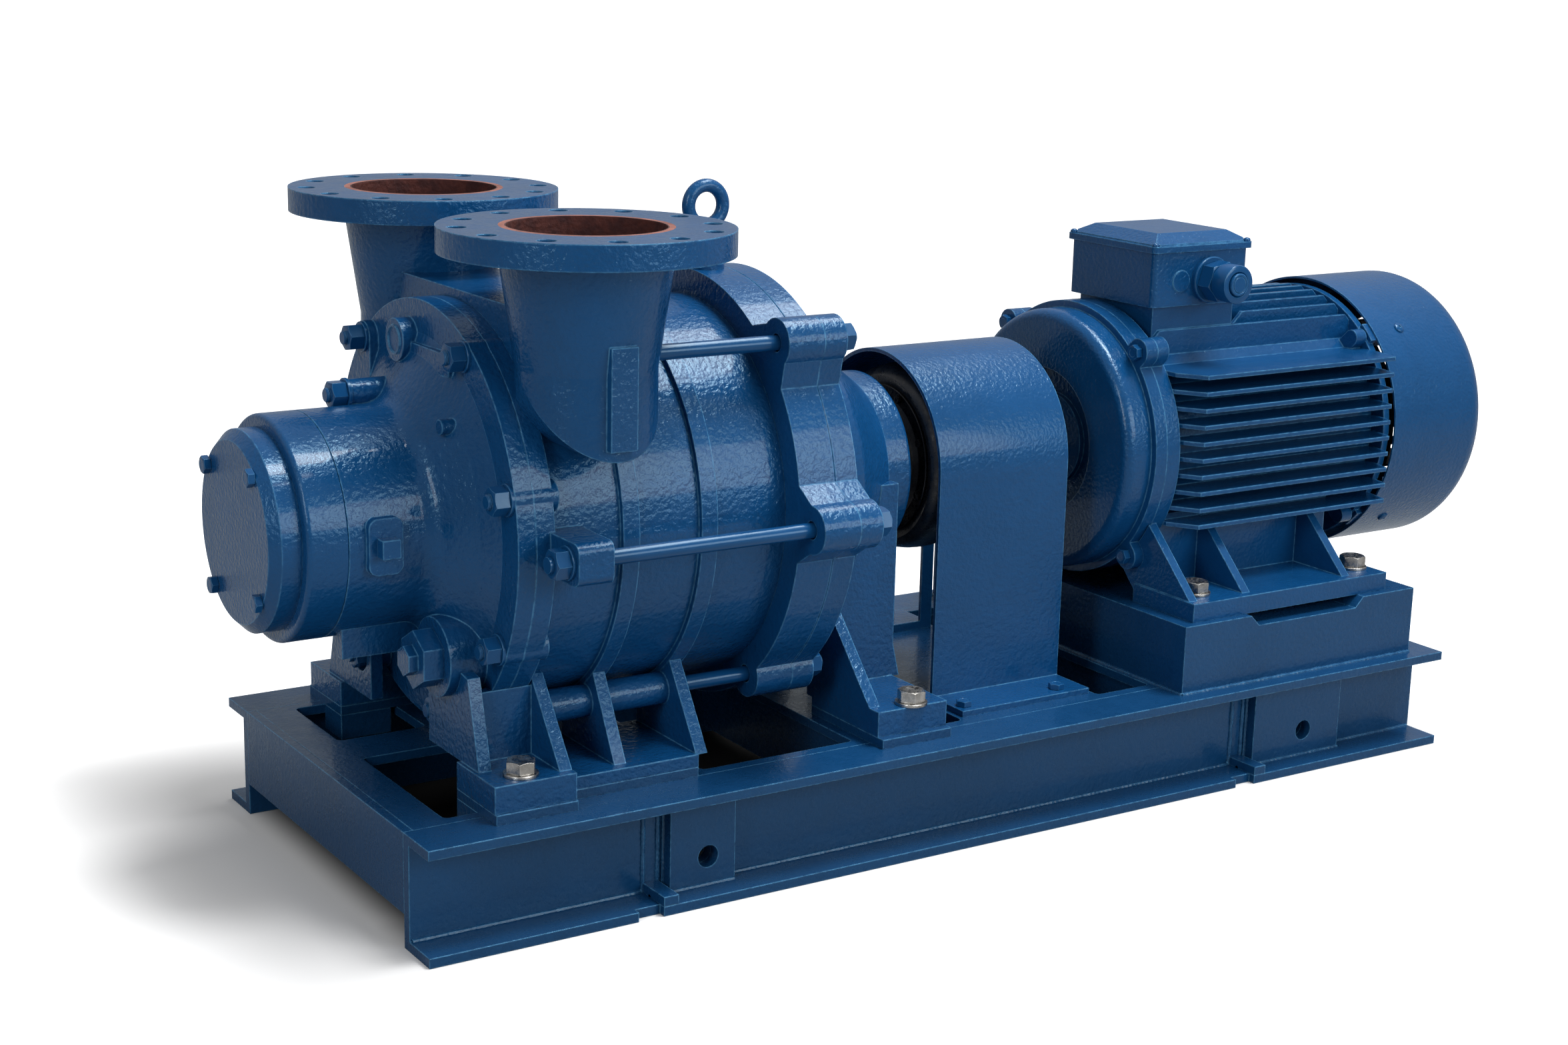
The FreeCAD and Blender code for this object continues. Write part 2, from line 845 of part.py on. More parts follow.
def foot_brackets():
    """Blocks between the beams and the front feet, where the bay runs under them."""
    edge = half_base - s.deck_ledge_width
    pieces = []
    for side in SIDES:
        reach = across(side, s.foot_pad_inner_y, edge)
        along = (front_foot_start, seam + s.bay_margin - s.bay_corner_radius)
        pieces.append(block(along, reach, (s.base_height - s.foot_block_height, s.base_height)))
    return loose(*pieces)


def motor_pedestal():
    """Welded box that lifts the motor to the shaft line, notched along its top edges."""
    half = s.pedestal_width / 2
    start, end = pedestal_start, pedestal_end
    wall = s.pedestal_wall
    notch = start + s.pedestal_notch_start
    notch_end = notch + s.pedestal_notch_length
    slope = s.pedestal_notch_depth
    side_points = [
        (start, s.base_height),
        (end, s.base_height),
        (end, pedestal_top),
        (notch_end + slope, pedestal_top),
        (notch_end, pedestal_top - slope),
        (notch + slope, pedestal_top - slope),
        (notch, pedestal_top),
        (start, pedestal_top),
    ]
    solid = plate("XZ_Plane", side_points, s.pedestal_width, -half)
    inside = block((start + wall, end - wall), (-half + wall, half - wall), (s.base_height - 1, pedestal_top - slope - wall))
    hole_radius = s.foot_bolt_radius + s.foot_bolt_clearance
    holes = [bar("Z", hole_radius, s.pedestal_height, x, y, s.base_height) for x, y in motor_bolt_places()]
    between = block(
        (notch + slope, notch_end), (-half + 4 * wall, half - 4 * wall), (pedestal_top - slope - wall - 1, pedestal_top + 1)
    )
    return cut(solid, inside, between, *holes)


front_bolt_x = front_foot_start + s.front_foot_length * 0.43
rear_bolt_x = rear_foot_start + s.rear_foot_length * 0.55
motor_foot_start = motor_start + s.motor_foot_lead
motor_foot_end = motor_foot_start + s.motor_foot_length


def motor_bolt_places():
    """The four holding-down bolts of the motor, as (x, y)."""
    first = motor_foot_start + s.motor_bolt_inset
    return [(x, side * s.motor_bolt_y) for side in SIDES for x in (first, first + s.motor_bolt_spacing)]


def pump_foot_bolts():
    """Steel hexagon bolts through the pump's front and rear feet."""
    points = [(x, side * s.foot_bolt_y, foot_top) for side in SIDES for x in (front_bolt_x, rear_bolt_x)]
    shank = (s.foot_bolt_radius, foot_top - s.base_height)
    return hex_screws(
        "Z", points, s.foot_bolt_flats, s.foot_bolt_head, s.foot_washer_radius, s.foot_washer_thickness, shank
    )


def motor_foot_bolts():
    """Steel hexagon bolts through the motor's feet into the pedestal."""
    level = pedestal_top + s.motor_foot_thickness
    points = [(x, y, level) for x, y in motor_bolt_places()]
    shank = (s.foot_bolt_radius, s.motor_foot_thickness + s.pedestal_wall)
    return hex_screws(
        "Z", points, s.foot_bolt_flats, s.foot_bolt_head, s.foot_washer_radius, s.foot_washer_thickness, shank
    )


# Pump: front cover and front bearing

def end_cap():
    """Domed cap over the front bearing, with a spigot that holds its outer ring."""
    spigot = ring_front + (s.bearing_ring_length - s.bearing_width)
    edge = s.end_cap_radius
    points = [
        (cap_front, 0),
        (cap_front, edge - 12),
        (cap_front + 12, edge),
        (ring_front, edge),
        (ring_front, s.bearing_outer_radius),
        (spigot, s.bearing_outer_radius),
        (spigot, s.bearing_outer_radius - s.race_wall),
        (cap_front + s.end_cap_wall, s.bearing_outer_radius - s.race_wall),
        (cap_front + s.end_cap_wall, 0),
    ]
    return turned(points)


def ring_of_points(count, first_angle, radius, x, step_angle=None):
    """Points round the shaft axis at one place along it."""
    step_angle = 360.0 / count if step_angle is None else step_angle
    angles = [first_angle + step_angle * index for index in range(count)]
    return [(x, radius * cosine(angle), radius * sine(angle)) for angle in angles]


def end_cap_bolts():
    """Four hexagon screws round the front cap."""
    points = ring_of_points(4, 40.0, s.end_cap_bolt_circle_radius, cap_front - s.end_cap_bolt_head, 90.0)
    return hex_screws("X", points, s.end_cap_bolt_flats, s.end_cap_bolt_head)


def bearing_ring():
    """Bearing carrier bolted between the cap and the housing."""
    outer = s.housing_radius
    points = [
        (ring_front, s.bearing_outer_radius),
        (ring_front, outer),
        (cover_front, outer),
        (cover_front, s.bearing_outer_radius),
    ]
    return turned(points, [((ring_front, outer), s.cast_round), ((cover_front, outer), 2)])


COVER_BOLT_ANGLES = (10.0, 53.0, 120.0, 165.0, 210.0, 255.0, 300.0, 335.0)
UPPER_PAD_ANGLE = 53.0
LOWER_PAD_ANGLE = 300.0
COVER_PADS = {UPPER_PAD_ANGLE: s.upper_pad_proud, LOWER_PAD_ANGLE: s.lower_pad_proud}


def cover_bolt_points(x):
    """Centers of the cover bolts at one place along the shaft."""
    radius = s.cover_bolt_circle_radius
    return [(x, radius * cosine(angle), radius * sine(angle)) for angle in COVER_BOLT_ANGLES]


def cover_bolt_faces():
    """What each cover bolt's washer sits on, as (x, y, z): the rim, or a pad that stands proud of it."""
    face = seam - s.cover_rim_thickness
    proud = [COVER_PADS.get(angle, 0) for angle in COVER_BOLT_ANGLES]
    return [(face - pad, y, z) for pad, (_, y, z) in zip(proud, cover_bolt_points(face))]


def cover_pads():
    """Two long pads under cover bolts, a round cast pad with its ring, and the web beside it."""
    face = seam - s.cover_rim_thickness
    pads = []
    half = s.cover_washer_radius
    for angle, (x, y, z) in zip(COVER_BOLT_ANGLES, cover_bolt_faces()):
        if angle in COVER_PADS:
            pads.append(bar("X", half, face - x + s.cover_step, x, y, z))
    upper_x, upper_y, upper_z = cover_bolt_faces()[COVER_BOLT_ANGLES.index(UPPER_PAD_ANGLE)]
    pads.append(block((upper_x, face + 1), (upper_y - half, upper_y + half), (upper_z - 2 * half, upper_z)))
    pads.append(bar("X", half, face - upper_x + 1, upper_x, upper_y, upper_z - 2 * half))
    round_x = face - s.round_pad_proud
    pads.append(bar("X", s.round_pad_radius, s.round_pad_proud + s.cover_step, round_x, s.round_pad_y, s.round_pad_z))
    ring = bar("X", s.round_pad_radius * 0.7, 2, round_x - 2, s.round_pad_y, s.round_pad_z)
    dish = bar("X", s.round_pad_radius * 0.6, 2, round_x - 2, s.round_pad_y, s.round_pad_z)
    pads.append(cut(ring, dish))
    web_y = (s.cover_washer_radius + 2 - s.cover_bolt_circle_radius / 2, s.round_pad_y)
    web_z = (s.round_pad_z - s.round_pad_radius, s.round_pad_z)
    pads.append(block((face - s.round_pad_proud / 2, face + 1), web_y, web_z))
    small_start = face - s.round_pad_proud - s.cover_step
    pads.append(bar("X", s.small_pad_radius, s.round_pad_proud + 4, small_start, -s.small_pad_y, s.small_pad_z))
    return pads


def stud_boss():
    """Long round boss with a stud, along the top of the bearing housing."""
    start = cover_front + s.stud_boss_lead
    length = seam - s.cover_flare_length - start + s.cover_rim_thickness
    return bar("X", s.stud_boss_radius, length, start, s.stud_boss_y, s.stud_boss_z)


def front_cover():
    """Front cover: bearing housing that flares into the cover plate, with lugs for its bolts."""
    neck = s.housing_radius
    flare = seam - s.cover_flare_length
    rim_start = seam - s.cover_rim_thickness
    box_end = flare + s.cover_step
    points = [
        (cover_front, s.bearing_outer_radius),
        (cover_front, neck),
        (flare, neck),
        (rim_start - s.cover_step, s.cover_shoulder_radius),
        (rim_start, s.cover_face_radius),
        (rim_start, s.cover_rim_radius),
        (seam, s.cover_rim_radius),
        (seam, s.cover_chamber_radius),
        (seam - s.cover_step, s.cover_chamber_radius),
        (box_end, s.bearing_outer_radius + 40),
        (box_end, s.stuffing_box_radius),
        (box_end - s.stuffing_box_length, s.stuffing_box_radius),
        (box_end - s.stuffing_box_length, s.bearing_outer_radius),
    ]
    shell = turned(points, [((flare, neck), s.flare_round)])
    lugs = [bar("X", s.cover_lug_radius, s.cover_rim_thickness, x, y, z) for x, y, z in cover_bolt_points(rim_start)]
    side_center = cover_front + s.side_boss_length
    half_length = s.side_boss_length / 2
    half_height = s.side_boss_height / 2
    side_boss = plate(
        "XZ_Plane",
        rectangle(side_center - half_length, side_center + half_length, -half_height, half_height),
        s.side_boss_proud + s.side_boss_length,
        -neck - s.side_boss_proud,
        s.side_boss_round,
    )
    rib = block(
        (cover_front + s.cover_step, rim_start),
        (-neck / 2 - s.foot_rib_thickness / 2, -neck / 2 + s.foot_rib_thickness / 2),
        (-neck - s.cover_step, -neck / 2 - 30),
    )
    drain_boss = bar("X", s.drain_boss_radius, s.cover_flare_length - s.cover_rim_thickness, flare, -s.drain_y, -s.drain_drop)
    bored = bar("X", s.bearing_outer_radius + s.foot_rib_thickness, s.cover_length, cover_front, 0, 0)
    top_boss = cut(stud_boss(), bored)
    bosses = [cut(side_boss, bored), cut(drain_boss, cavity_of_cover()), cut(rib, bored), top_boss]
    nut_room = 2 * s.cover_bolt_head
    nut_start = cover_front + s.stud_boss_lead - nut_room
    spot_face = bar("X", s.cover_washer_radius, nut_room, nut_start, s.stud_boss_y, s.stud_boss_z)
    return cut(fuse(shell, *lugs, *bosses, *cover_pads()), spot_face)


def cavity_of_cover():
    """The space inside the cover plate, so that bosses don't run into it."""
    rim_start = seam - s.cover_rim_thickness
    inner = s.cover_chamber_radius
    start = seam - s.cover_flare_length + s.cover_step
    return taper("X", s.bearing_outer_radius + 40, inner, rim_start + s.cover_step - s.cover_step / 2 - start, start, 0, 0)


def cover_bolts():
    """Hexagon nuts with washers and stud ends, round the front cover and on the housing's stud boss."""
    pieces = []
    stud_face = (cover_front + s.stud_boss_lead, s.stud_boss_y, s.stud_boss_z)
    for x, y, z in [*cover_bolt_faces(), stud_face]:
        head_start = x - s.cover_bolt_head - s.cover_washer_thickness
        head = hexagon("X", s.cover_bolt_flats, s.cover_bolt_head, head_start, y, z)
        washer = bar("X", s.cover_washer_radius - 1, s.cover_washer_thickness, x - s.cover_washer_thickness, y, z)
        stud = bar("X", s.cover_stud_radius, s.cover_bolt_head, head_start - s.cover_stud_proud, y, z)
        pieces.append(fuse(head, washer, stud))
    return loose(*pieces)


def side_plug():
    """Square-headed plug in the boss on the near side of the bearing housing."""
    center = cover_front + s.side_boss_length
    half = s.side_plug_side / 2
    face = s.housing_radius + s.side_boss_proud
    return block((center - half, center + half), (-face - s.side_plug_proud, -face), (-half, half))


def drain_plug():
    """Large hexagon plug with a small hexagon in its middle, in the cover's lower boss."""
    face = seam - s.cover_flare_length
    big = hexagon("X", s.drain_hex_flats, s.drain_hex_height, face - s.drain_hex_height, -s.drain_y, -s.drain_drop)
    small_start = face - s.drain_hex_height - s.drain_core_height
    small = hexagon("X", s.drain_core_flats, s.drain_core_height, small_start, -s.drain_y, -s.drain_drop)
    return fuse(big, small)


# Pump: casing, branches and rear end

def casing_shape_outside():
    """Outside of the casing as a solid of revolution, without its branches."""
    flange_end = seam + s.casing_flange_thickness
    first = seam + s.casing_rib_start
    second = first + s.casing_rib_spacing
    points = [
        (seam, 0),
        (seam, s.cover_rim_radius),
        (flange_end, s.cover_rim_radius),
        (flange_end, s.casing_radius),
        (first, s.casing_radius),
        (first, s.casing_rib_radius),
        (first + s.casing_rib_width, s.casing_rib_radius),
        (first + s.casing_rib_width, s.casing_radius),
        (second, s.casing_radius),
        (second, s.casing_rib_radius),
        (second + s.casing_rib_width, s.casing_rib_radius),
        (second + s.casing_rib_width, s.casing_radius),
        (casing_end, s.casing_radius),
        (casing_end, 0),
    ]
    return points


def casing():
    """Cast casing: manifold end, two ring ribs, and the offset bore in which the liquid ring turns."""
    shell = turned(casing_shape_outside())
    manifold = bar("X", s.manifold_radius, s.manifold_length + 1, seam - 1)
    seat_start = seam + s.manifold_length
    seat_end = seat_start + s.port_plate_thickness
    front_seat = bar("X", s.port_plate_radius, s.port_plate_thickness, seat_start)
    rear_seat_start = casing_end - s.port_plate_thickness
    rear_seat = bar("X", s.port_plate_radius, s.port_plate_thickness + 1, rear_seat_start)
    bore = bar("X", s.casing_bore_radius, rear_seat_start - seat_end, seat_end, 0, -s.ring_eccentricity)
    ducts = [
        bar("Z", s.branch_throat_radius, s.saddle_height, branch_center_x, side * s.branch_y, s.branch_duct_low)
        for side in SIDES
    ]
    lugs = []
    for side in SIDES:
        start = seam + s.tie_lug_start
        lug_outer = s.tie_circle_radius + s.tie_lug_half_height
        reach = across(side, s.casing_radius - s.foot_rib_thickness, lug_outer)
        outline = rectangle(*reach, -s.tie_lug_half_height, s.tie_lug_half_height)
        lugs.append(plate("YZ_Plane", outline, s.tie_lug_length, start, s.tie_lug_round))
    rods = [
        bar("X", s.tie_rod_radius + s.tie_hole_clearance, s.casing_length, seam, side * s.tie_circle_radius, 0)
        for side in SIDES
    ]
    solid = fuse(shell, *lugs, *casing_bosses())
    return cut(solid, manifold, front_seat, rear_seat, bore, *ducts, *rods)


branch_center_x = seam + s.branch_x


def casing_bosses():
    """Bosses behind the casing's front flange, one for each cover bolt."""
    return [
        bar("X", s.cover_lug_radius, s.cover_lug_length, x, y, z)
        for x, y, z in cover_bolt_points(seam)
    ]


def saddle():
    """Cast web over the casing that ties the two branches together."""
    half = s.saddle_half_length
    reach = s.branch_y - s.saddle_inset
    low = s.branch_bottom + s.branch_waist_radius
    web = block((branch_center_x - half, branch_center_x + half), (-reach, reach), (low, s.saddle_height))
    return cut(web, casing_blank(), *casing_bosses(), branch_blank(NEAR), branch_blank(FAR))


def casing_blank():
    """The casing's outside, used to cut the pieces that sit on it."""
    return turned(casing_shape_outside())


def branch_blank(side):
    """Outside of one branch: pipe under its flange, closed by a rounded end against the casing."""
    y = side * s.branch_y
    x = branch_center_x
    flange_low = s.branch_flange_height - s.branch_flange_thickness
    taper_low = flange_low - s.branch_taper_length
    arch = s.branch_bottom + s.branch_waist_radius
    top = taper("Z", s.branch_waist_radius, s.branch_top_radius, s.branch_taper_length, x, y, taper_low)
    middle = bar("Z", s.branch_waist_radius, taper_low - arch, x, y, arch)
    column = bar("Z", s.branch_waist_radius, s.branch_waist_radius, x, y, s.branch_bottom)
    barrel = bar("Y", s.branch_waist_radius, 2 * s.branch_waist_radius, x, y - s.branch_waist_radius, arch)
    half = s.branch_panel_width / 2
    panel_reach = across(side, s.branch_y, s.branch_y + s.branch_waist_radius + s.branch_panel_proud)
    panel = block((x - half, x + half), panel_reach, (s.branch_panel_low, s.branch_panel_low + s.branch_panel_height))
    return fuse(top, middle, common(column, barrel), panel)


def branch(side):
    """Suction or discharge branch with its drilled flange, seated on the casing."""
    y = side * s.branch_y
    x = branch_center_x
    flange_low = s.branch_flange_height - s.branch_flange_thickness
    flange_points = [
        (0, flange_low),
        (s.branch_flange_radius, flange_low),
        (s.branch_flange_radius, s.branch_flange_height),
        (0, s.branch_flange_height),
    ]
    flange = turned(flange_points, about="V_Axis")
    locate(flange, x, y, 0)
    bore_low = s.branch_flange_height - s.branch_bore_length
    bore = bar("Z", s.branch_bore_radius, s.branch_bore_length + 1, x, y, bore_low)
    throat_low = bore_low - s.branch_taper_length
    throat = taper("Z", s.branch_throat_radius, s.branch_bore_radius, s.branch_taper_length, x, y, throat_low)
    duct = bar("Z", s.branch_throat_radius, throat_low - s.branch_duct_low, x, y, s.branch_duct_low)
    holes = []
    for index in range(12):
        angle = 15.0 + 30.0 * index
        hole_x = x + s.branch_bolt_circle_radius * cosine(angle)
        hole_y = y + s.branch_bolt_circle_radius * sine(angle)
        holes.append(bar("Z", s.branch_bolt_hole_radius, s.branch_flange_thickness, hole_x, hole_y, flange_low))
    return cut(fuse(flange, branch_blank(side)), bore, throat, duct, casing_blank(), *casing_bosses(), *holes)


def lobe_points(angle, radius, center_radius):
    """Outline of a tie-rod lobe in the plane across the shaft."""
    along = (cosine(angle), sine(angle))
    aside = (-along[1], along[0])
    corners = []
    for reach, offset in ((0.84, -2.0), (1.0, -0.97), (1.0, 0.97), (0.84, 2.0)):
        u = center_radius * reach * along[0] + offset * radius * aside[0]
        v = center_radius * reach * along[1] + offset * radius * aside[1]
        corners.append((u, v))
    return corners


TIE_PLACES = [
    (s.upper_tie_angle, s.tie_circle_radius),
    (0.0, s.tie_circle_radius),
    (s.lower_tie_angle, s.lower_tie_circle_radius),
]


def tie_points():
    """(angle, circle radius, y, z) of the six tie rods."""
    points = []
    for side in SIDES:
        for angle, radius in TIE_PLACES:
            turned_angle = angle if side == FAR else 180.0 - angle
            points.append((turned_angle, radius, side * radius * cosine(angle), radius * sine(angle)))
    return points


def lobed_disc(points, start, length):
    """Disc of revolution with the six lobes that the tie rods pass through."""
    disc = turned(points)
    pieces = [disc]
    holes = []
    for angle, radius, y, z in tie_points():
        pieces.append(plate("YZ_Plane", lobe_points(angle, s.tie_lobe_radius, radius), length, start))
        pieces.append(bar("X", s.tie_lobe_radius, length, start, y, z))
        holes.append(bar("X", s.tie_rod_radius + s.tie_hole_clearance, length + 2, start - 1, y, z))
    return pieces, holes


def rear_plate():
    """Rear side plate of the pump, lobed for the tie rods, with the chamber behind the port plate."""
    rim = s.rear_plate_radius
    points = [
        (casing_end, s.rear_chamber_radius),
        (casing_end, rim),
        (rear_seam - 1, rim),
        (rear_seam, rim - 1),
        (rear_seam, s.stuffing_box_radius),
        (rear_seam - s.rear_wall, s.stuffing_box_radius),
        (rear_seam - s.rear_wall, s.rear_chamber_radius),
    ]
    pieces, holes = lobed_disc(points, casing_end, s.rear_plate_thickness)
    chamber = bar("X", s.rear_chamber_radius, s.rear_plate_thickness - s.rear_wall, casing_end)
    neck = bar("X", s.stuffing_box_radius, s.rear_plate_thickness, casing_end)
    return cut(fuse(*pieces), chamber, neck, *holes)


def rear_cover():
    """Bell-shaped rear cover that narrows to the rear bearing housing."""
    rim = s.rear_plate_radius
    shoulder = rear_rim_end + s.rear_shoulder_length
    hub_start = rear_end - s.rear_hub_length
    seat_start = rear_end - s.end_cap_wall - s.bearing_width
    points = [
        (rear_seam, s.rear_chamber_radius),
        (rear_seam, rim - 1),
        (rear_seam + 1, rim),
        (rear_rim_end, rim),
        (rear_rim_end, s.rear_bell_radius),
        (shoulder, s.rear_shoulder_radius),
        (hub_start, s.rear_hub_radius),
        (rear_end, s.rear_hub_radius),
        (rear_end, s.pump_shaft_radius + s.race_wall),
        (rear_end - s.end_cap_wall, s.pump_shaft_radius + s.race_wall),
        (rear_end - s.end_cap_wall, s.bearing_outer_radius),
        (seat_start, s.bearing_outer_radius),
        (seat_start, s.stuffing_box_radius),
        (seat_start - s.race_wall, s.stuffing_box_radius),
        (shoulder, s.rear_shoulder_radius - s.rear_wall),
    ]
    rounds = [((shoulder, s.rear_shoulder_radius), s.flare_round), ((rear_end, s.rear_hub_radius), s.cast_round)]
    shell_pieces, holes = lobed_disc([(rear_seam, rim - 60), (rear_seam, rim - 1), (rear_rim_end, rim - 1), (rear_rim_end, rim - 60)], rear_seam, s.rear_rim_thickness)
    shell = turned(points, rounds)
    inside = bar("X", s.rear_chamber_radius, s.rear_rim_thickness, rear_seam)
    return cut(fuse(shell, *shell_pieces), inside, *holes)


def tie_rods():
    """Six long rods that clamp the casing between its two ends."""
    pieces = []
    for angle, radius, y, z in tie_points():
        start, end = tie_rod_span(z)
        pieces.append(bar("X", s.tie_rod_radius, end - start, start, y, z))
    return loose(*pieces)


def tie_rod_span(z):
    """Where a tie rod starts and ends, by its height."""
    nut_room = s.tie_washer_thickness + s.tie_nut_height + s.tie_end_proud
    end = rear_rim_end + nut_room
    if float(z) > 1:
        return branch_center_x + s.branch_waist_radius + s.tie_end_proud / 2, end
    if float(z) < -1:
        return front_foot_end, end
    return seam + s.tie_lug_start - nut_room, end


def tie_rod_nuts():
    """Hexagon nuts and washers on the ends of the tie rods."""
    pieces = []
    hole_radius = s.tie_rod_radius
    for angle, radius, y, z in tie_points():
        places = [rear_rim_end]
        if abs(float(z)) < 1:
            places.append(seam + s.tie_lug_start - s.tie_washer_thickness - s.tie_nut_height)
        for start in places:
            rear = start is rear_rim_end
            washer_start = start if rear else start + s.tie_nut_height
            nut_start = start + s.tie_washer_thickness if rear else start
            nut = hexagon("X", s.tie_nut_flats, s.tie_nut_height, nut_start, y, z)
            washer = bar("X", s.tie_washer_radius, s.tie_washer_thickness, washer_start, y, z)
            hole = bar("X", hole_radius, s.tie_nut_height + s.tie_washer_thickness, start, y, z)
            pieces.append(cut(fuse(nut, washer), hole))
    return loose(*pieces)


def eyebolt():
    """Lifting eye on top of the rear flange pair."""
    center = casing_end + s.rear_plate_thickness / 2
    ring = doc.addObject("Part::Torus", "Ring")
    bind(ring, Radius1=s.eye_ring_radius, Radius2=s.eye_bar_radius)
    ring.Placement.Rotation = TURN_TO_AXIS["Y"]
    locate(ring, center, 0, s.eye_height)
    rim = s.rear_plate_radius
    collar_height = s.eye_bar_radius
    collar = bar("Z", s.eye_ring_radius, collar_height, center, 0, rim - 2)
    shank_length = s.eye_height - s.eye_ring_radius - rim
    shank = bar("Z", s.eye_bar_radius * 1.3, shank_length, center, 0, rim)
    cleared = bar("X", rim, s.rear_plate_thickness, casing_end)
    return cut(fuse(ring, collar, shank), cleared)


# Pump feet

def front_feet():
    """Front feet: block, two sloping ribs and the wall between them, on each side."""
    side = NEAR
    start, end = front_foot_start, front_foot_end
    outer = s.foot_block_outer_y
    rib = s.foot_rib_thickness
    base = block((start, end), across(side, s.foot_pad_inner_y, outer), (foot_pad_level, foot_top_level))
    inner = -s.foot_pad_inner_y + s.foot_pad_inner_y / 2
    front_rib = plate(
        "YZ_Plane",
        [
            (-s.foot_bolt_y + s.foot_washer_radius + 6, foot_top_level),
            (inner, foot_top_level),
            (inner, -s.housing_radius),
            (-s.foot_pad_inner_y - 20, -s.housing_radius - 20),
        ],
        rib,
        start + 5,
    )
    rear_rib = plate(
        "YZ_Plane",
        [
            (-outer, foot_top_level - rib),
            (inner, foot_top_level - rib),
            (inner, -s.housing_radius),
            (-s.foot_pad_inner_y - 14, -s.housing_radius - 28),
        ],
        rib,
        end - rib,
    )
    wall = block(
        (start + 5, end),
        (-s.foot_pad_inner_y - s.foot_wall_thickness - 2, -s.foot_pad_inner_y - 2),
        (foot_top_level - rib, -s.housing_radius - 40),
    )
    hole_radius = s.foot_bolt_radius + s.foot_bolt_clearance
    hole = bar("Z", hole_radius, s.foot_block_height, front_bolt_x, side * s.foot_bolt_y, foot_pad_level)
    return cut(both(cut(fuse(base, front_rib, rear_rib, wall), hole)), pump_front_blank(), *cover_bolt_room())


def cover_bolt_room():
    """The space that the cover bolts' heads and a socket on them take."""
    start = seam - s.cover_rim_thickness - 2 * s.cover_bolt_head
    return [bar("X", s.cover_washer_radius + 2, 2 * s.cover_bolt_head, x, y, z) for x, y, z in cover_bolt_points(start)]


def pump_front_blank():
    """Outside of the front cover and casing, used to cut what stands under them."""
    neck = s.housing_radius
    flare = seam - s.cover_flare_length
    rim_start = seam - s.cover_rim_thickness
    cover_points = [
        (cover_front, 0),
        (cover_front, neck),
        (flare, neck),
        (rim_start - s.cover_step, s.cover_shoulder_radius),
        (rim_start, s.cover_face_radius),
        (rim_start, s.cover_rim_radius),
        (seam, s.cover_rim_radius),
        (seam, 0),
    ]
    lugs = [
        bar("X", s.cover_lug_radius, s.cover_rim_thickness + s.cover_lug_length, x, y, z)
        for x, y, z in cover_bolt_points(rim_start)
    ]
    boss_length = s.cover_flare_length - s.cover_rim_thickness
    drain_boss = bar("X", s.drain_boss_radius, boss_length, flare, -s.drain_y, -s.drain_drop)
    face = flare - s.drain_hex_height
    drain_head = bar("X", s.drain_hex_flats * 0.58, s.drain_hex_height, face, -s.drain_y, -s.drain_drop)
    return fuse(turned(cover_points), casing_blank(), drain_boss, drain_head, *lugs)


def casing_feet():
    """Casing feet: base plate with ribs that run up into the casing's ring ribs."""
    start, end = front_foot_end, casing_foot_end
    base_top = foot_pad_level + s.casing_foot_base
    base = block((start, end), (-s.casing_foot_outer_y, -s.casing_foot_inner_y), (foot_pad_level, base_top))
    ribs = []
    first = seam + s.casing_rib_start
    for rib_start, reach in ((first, 14), (first + s.casing_rib_spacing, 2)):
        points = [
            (-s.casing_foot_outer_y + reach, base_top - 1),
            (-s.casing_foot_inner_y, base_top - 1),
            (-s.casing_foot_inner_y, -s.casing_radius + 40),
            (-s.casing_radius * 0.72, -s.casing_radius * 0.72),
        ]
        ribs.append(plate("YZ_Plane", points, s.foot_rib_thickness, rib_start))
    sleeve_y, sleeve_z = lower_tie_place()
    sleeve = bar("X", s.tie_sleeve_radius, end - start, start, sleeve_y, sleeve_z)
    hole_length = end - start + 2 * s.foot_rib_thickness
    hole = bar("X", s.tie_rod_radius + s.tie_hole_clearance, hole_length, start - 1, sleeve_y, sleeve_z)
    return both(cut(fuse(base, sleeve, *ribs), casing_blank(), hole))


def lower_tie_place():
    """Where the near lower tie rod runs, as (y, z)."""
    angle = s.lower_tie_angle
    radius = s.lower_tie_circle_radius
    return -radius * cosine(angle), radius * sine(angle)


def rear_stand():
    """Rear stand: two legs with gussets, joined by a wall under the rear cover."""
    side = NEAR
    start, end = rear_foot_start, rear_foot_end
    thick = s.rear_leg_thickness
    base = block((start, end), across(side, s.rear_foot_inner_y, s.rear_foot_outer_y), (foot_pad_level, foot_top_level))
    leg_points = [
        (start, foot_top_level - 1),
        (end + thick / 2, foot_top_level - 1),
        (end, foot_top_level + 2 * thick),
        (end, 0),
        (start + 2 * thick, 0),
        (start + thick, -s.rear_leg_outer_y),
    ]
    leg = plate("XZ_Plane", leg_points, thick, -s.rear_leg_outer_y)
    gusset_points = [
        (-s.rear_foot_outer_y, foot_top_level - thick),
        (0, foot_top_level - thick),
        (0, -s.housing_radius),
        (-s.rear_leg_outer_y + thick / 2, -s.rear_leg_outer_y),
    ]
    arch = bar("X", s.rear_foot_inner_y - 12, thick, start, 0, foot_top_level - thick)
    gusset = cut(plate("YZ_Plane", gusset_points, s.foot_rib_thickness, start), arch)
    hole_radius = s.foot_bolt_radius + s.foot_bolt_clearance
    hole = bar("Z", hole_radius, s.foot_block_height, rear_bolt_x, side * s.foot_bolt_y, foot_pad_level)
    half = cut(fuse(base, leg, gusset), hole, rear_cover_blank())
    return fuse(half, mirrored(half))


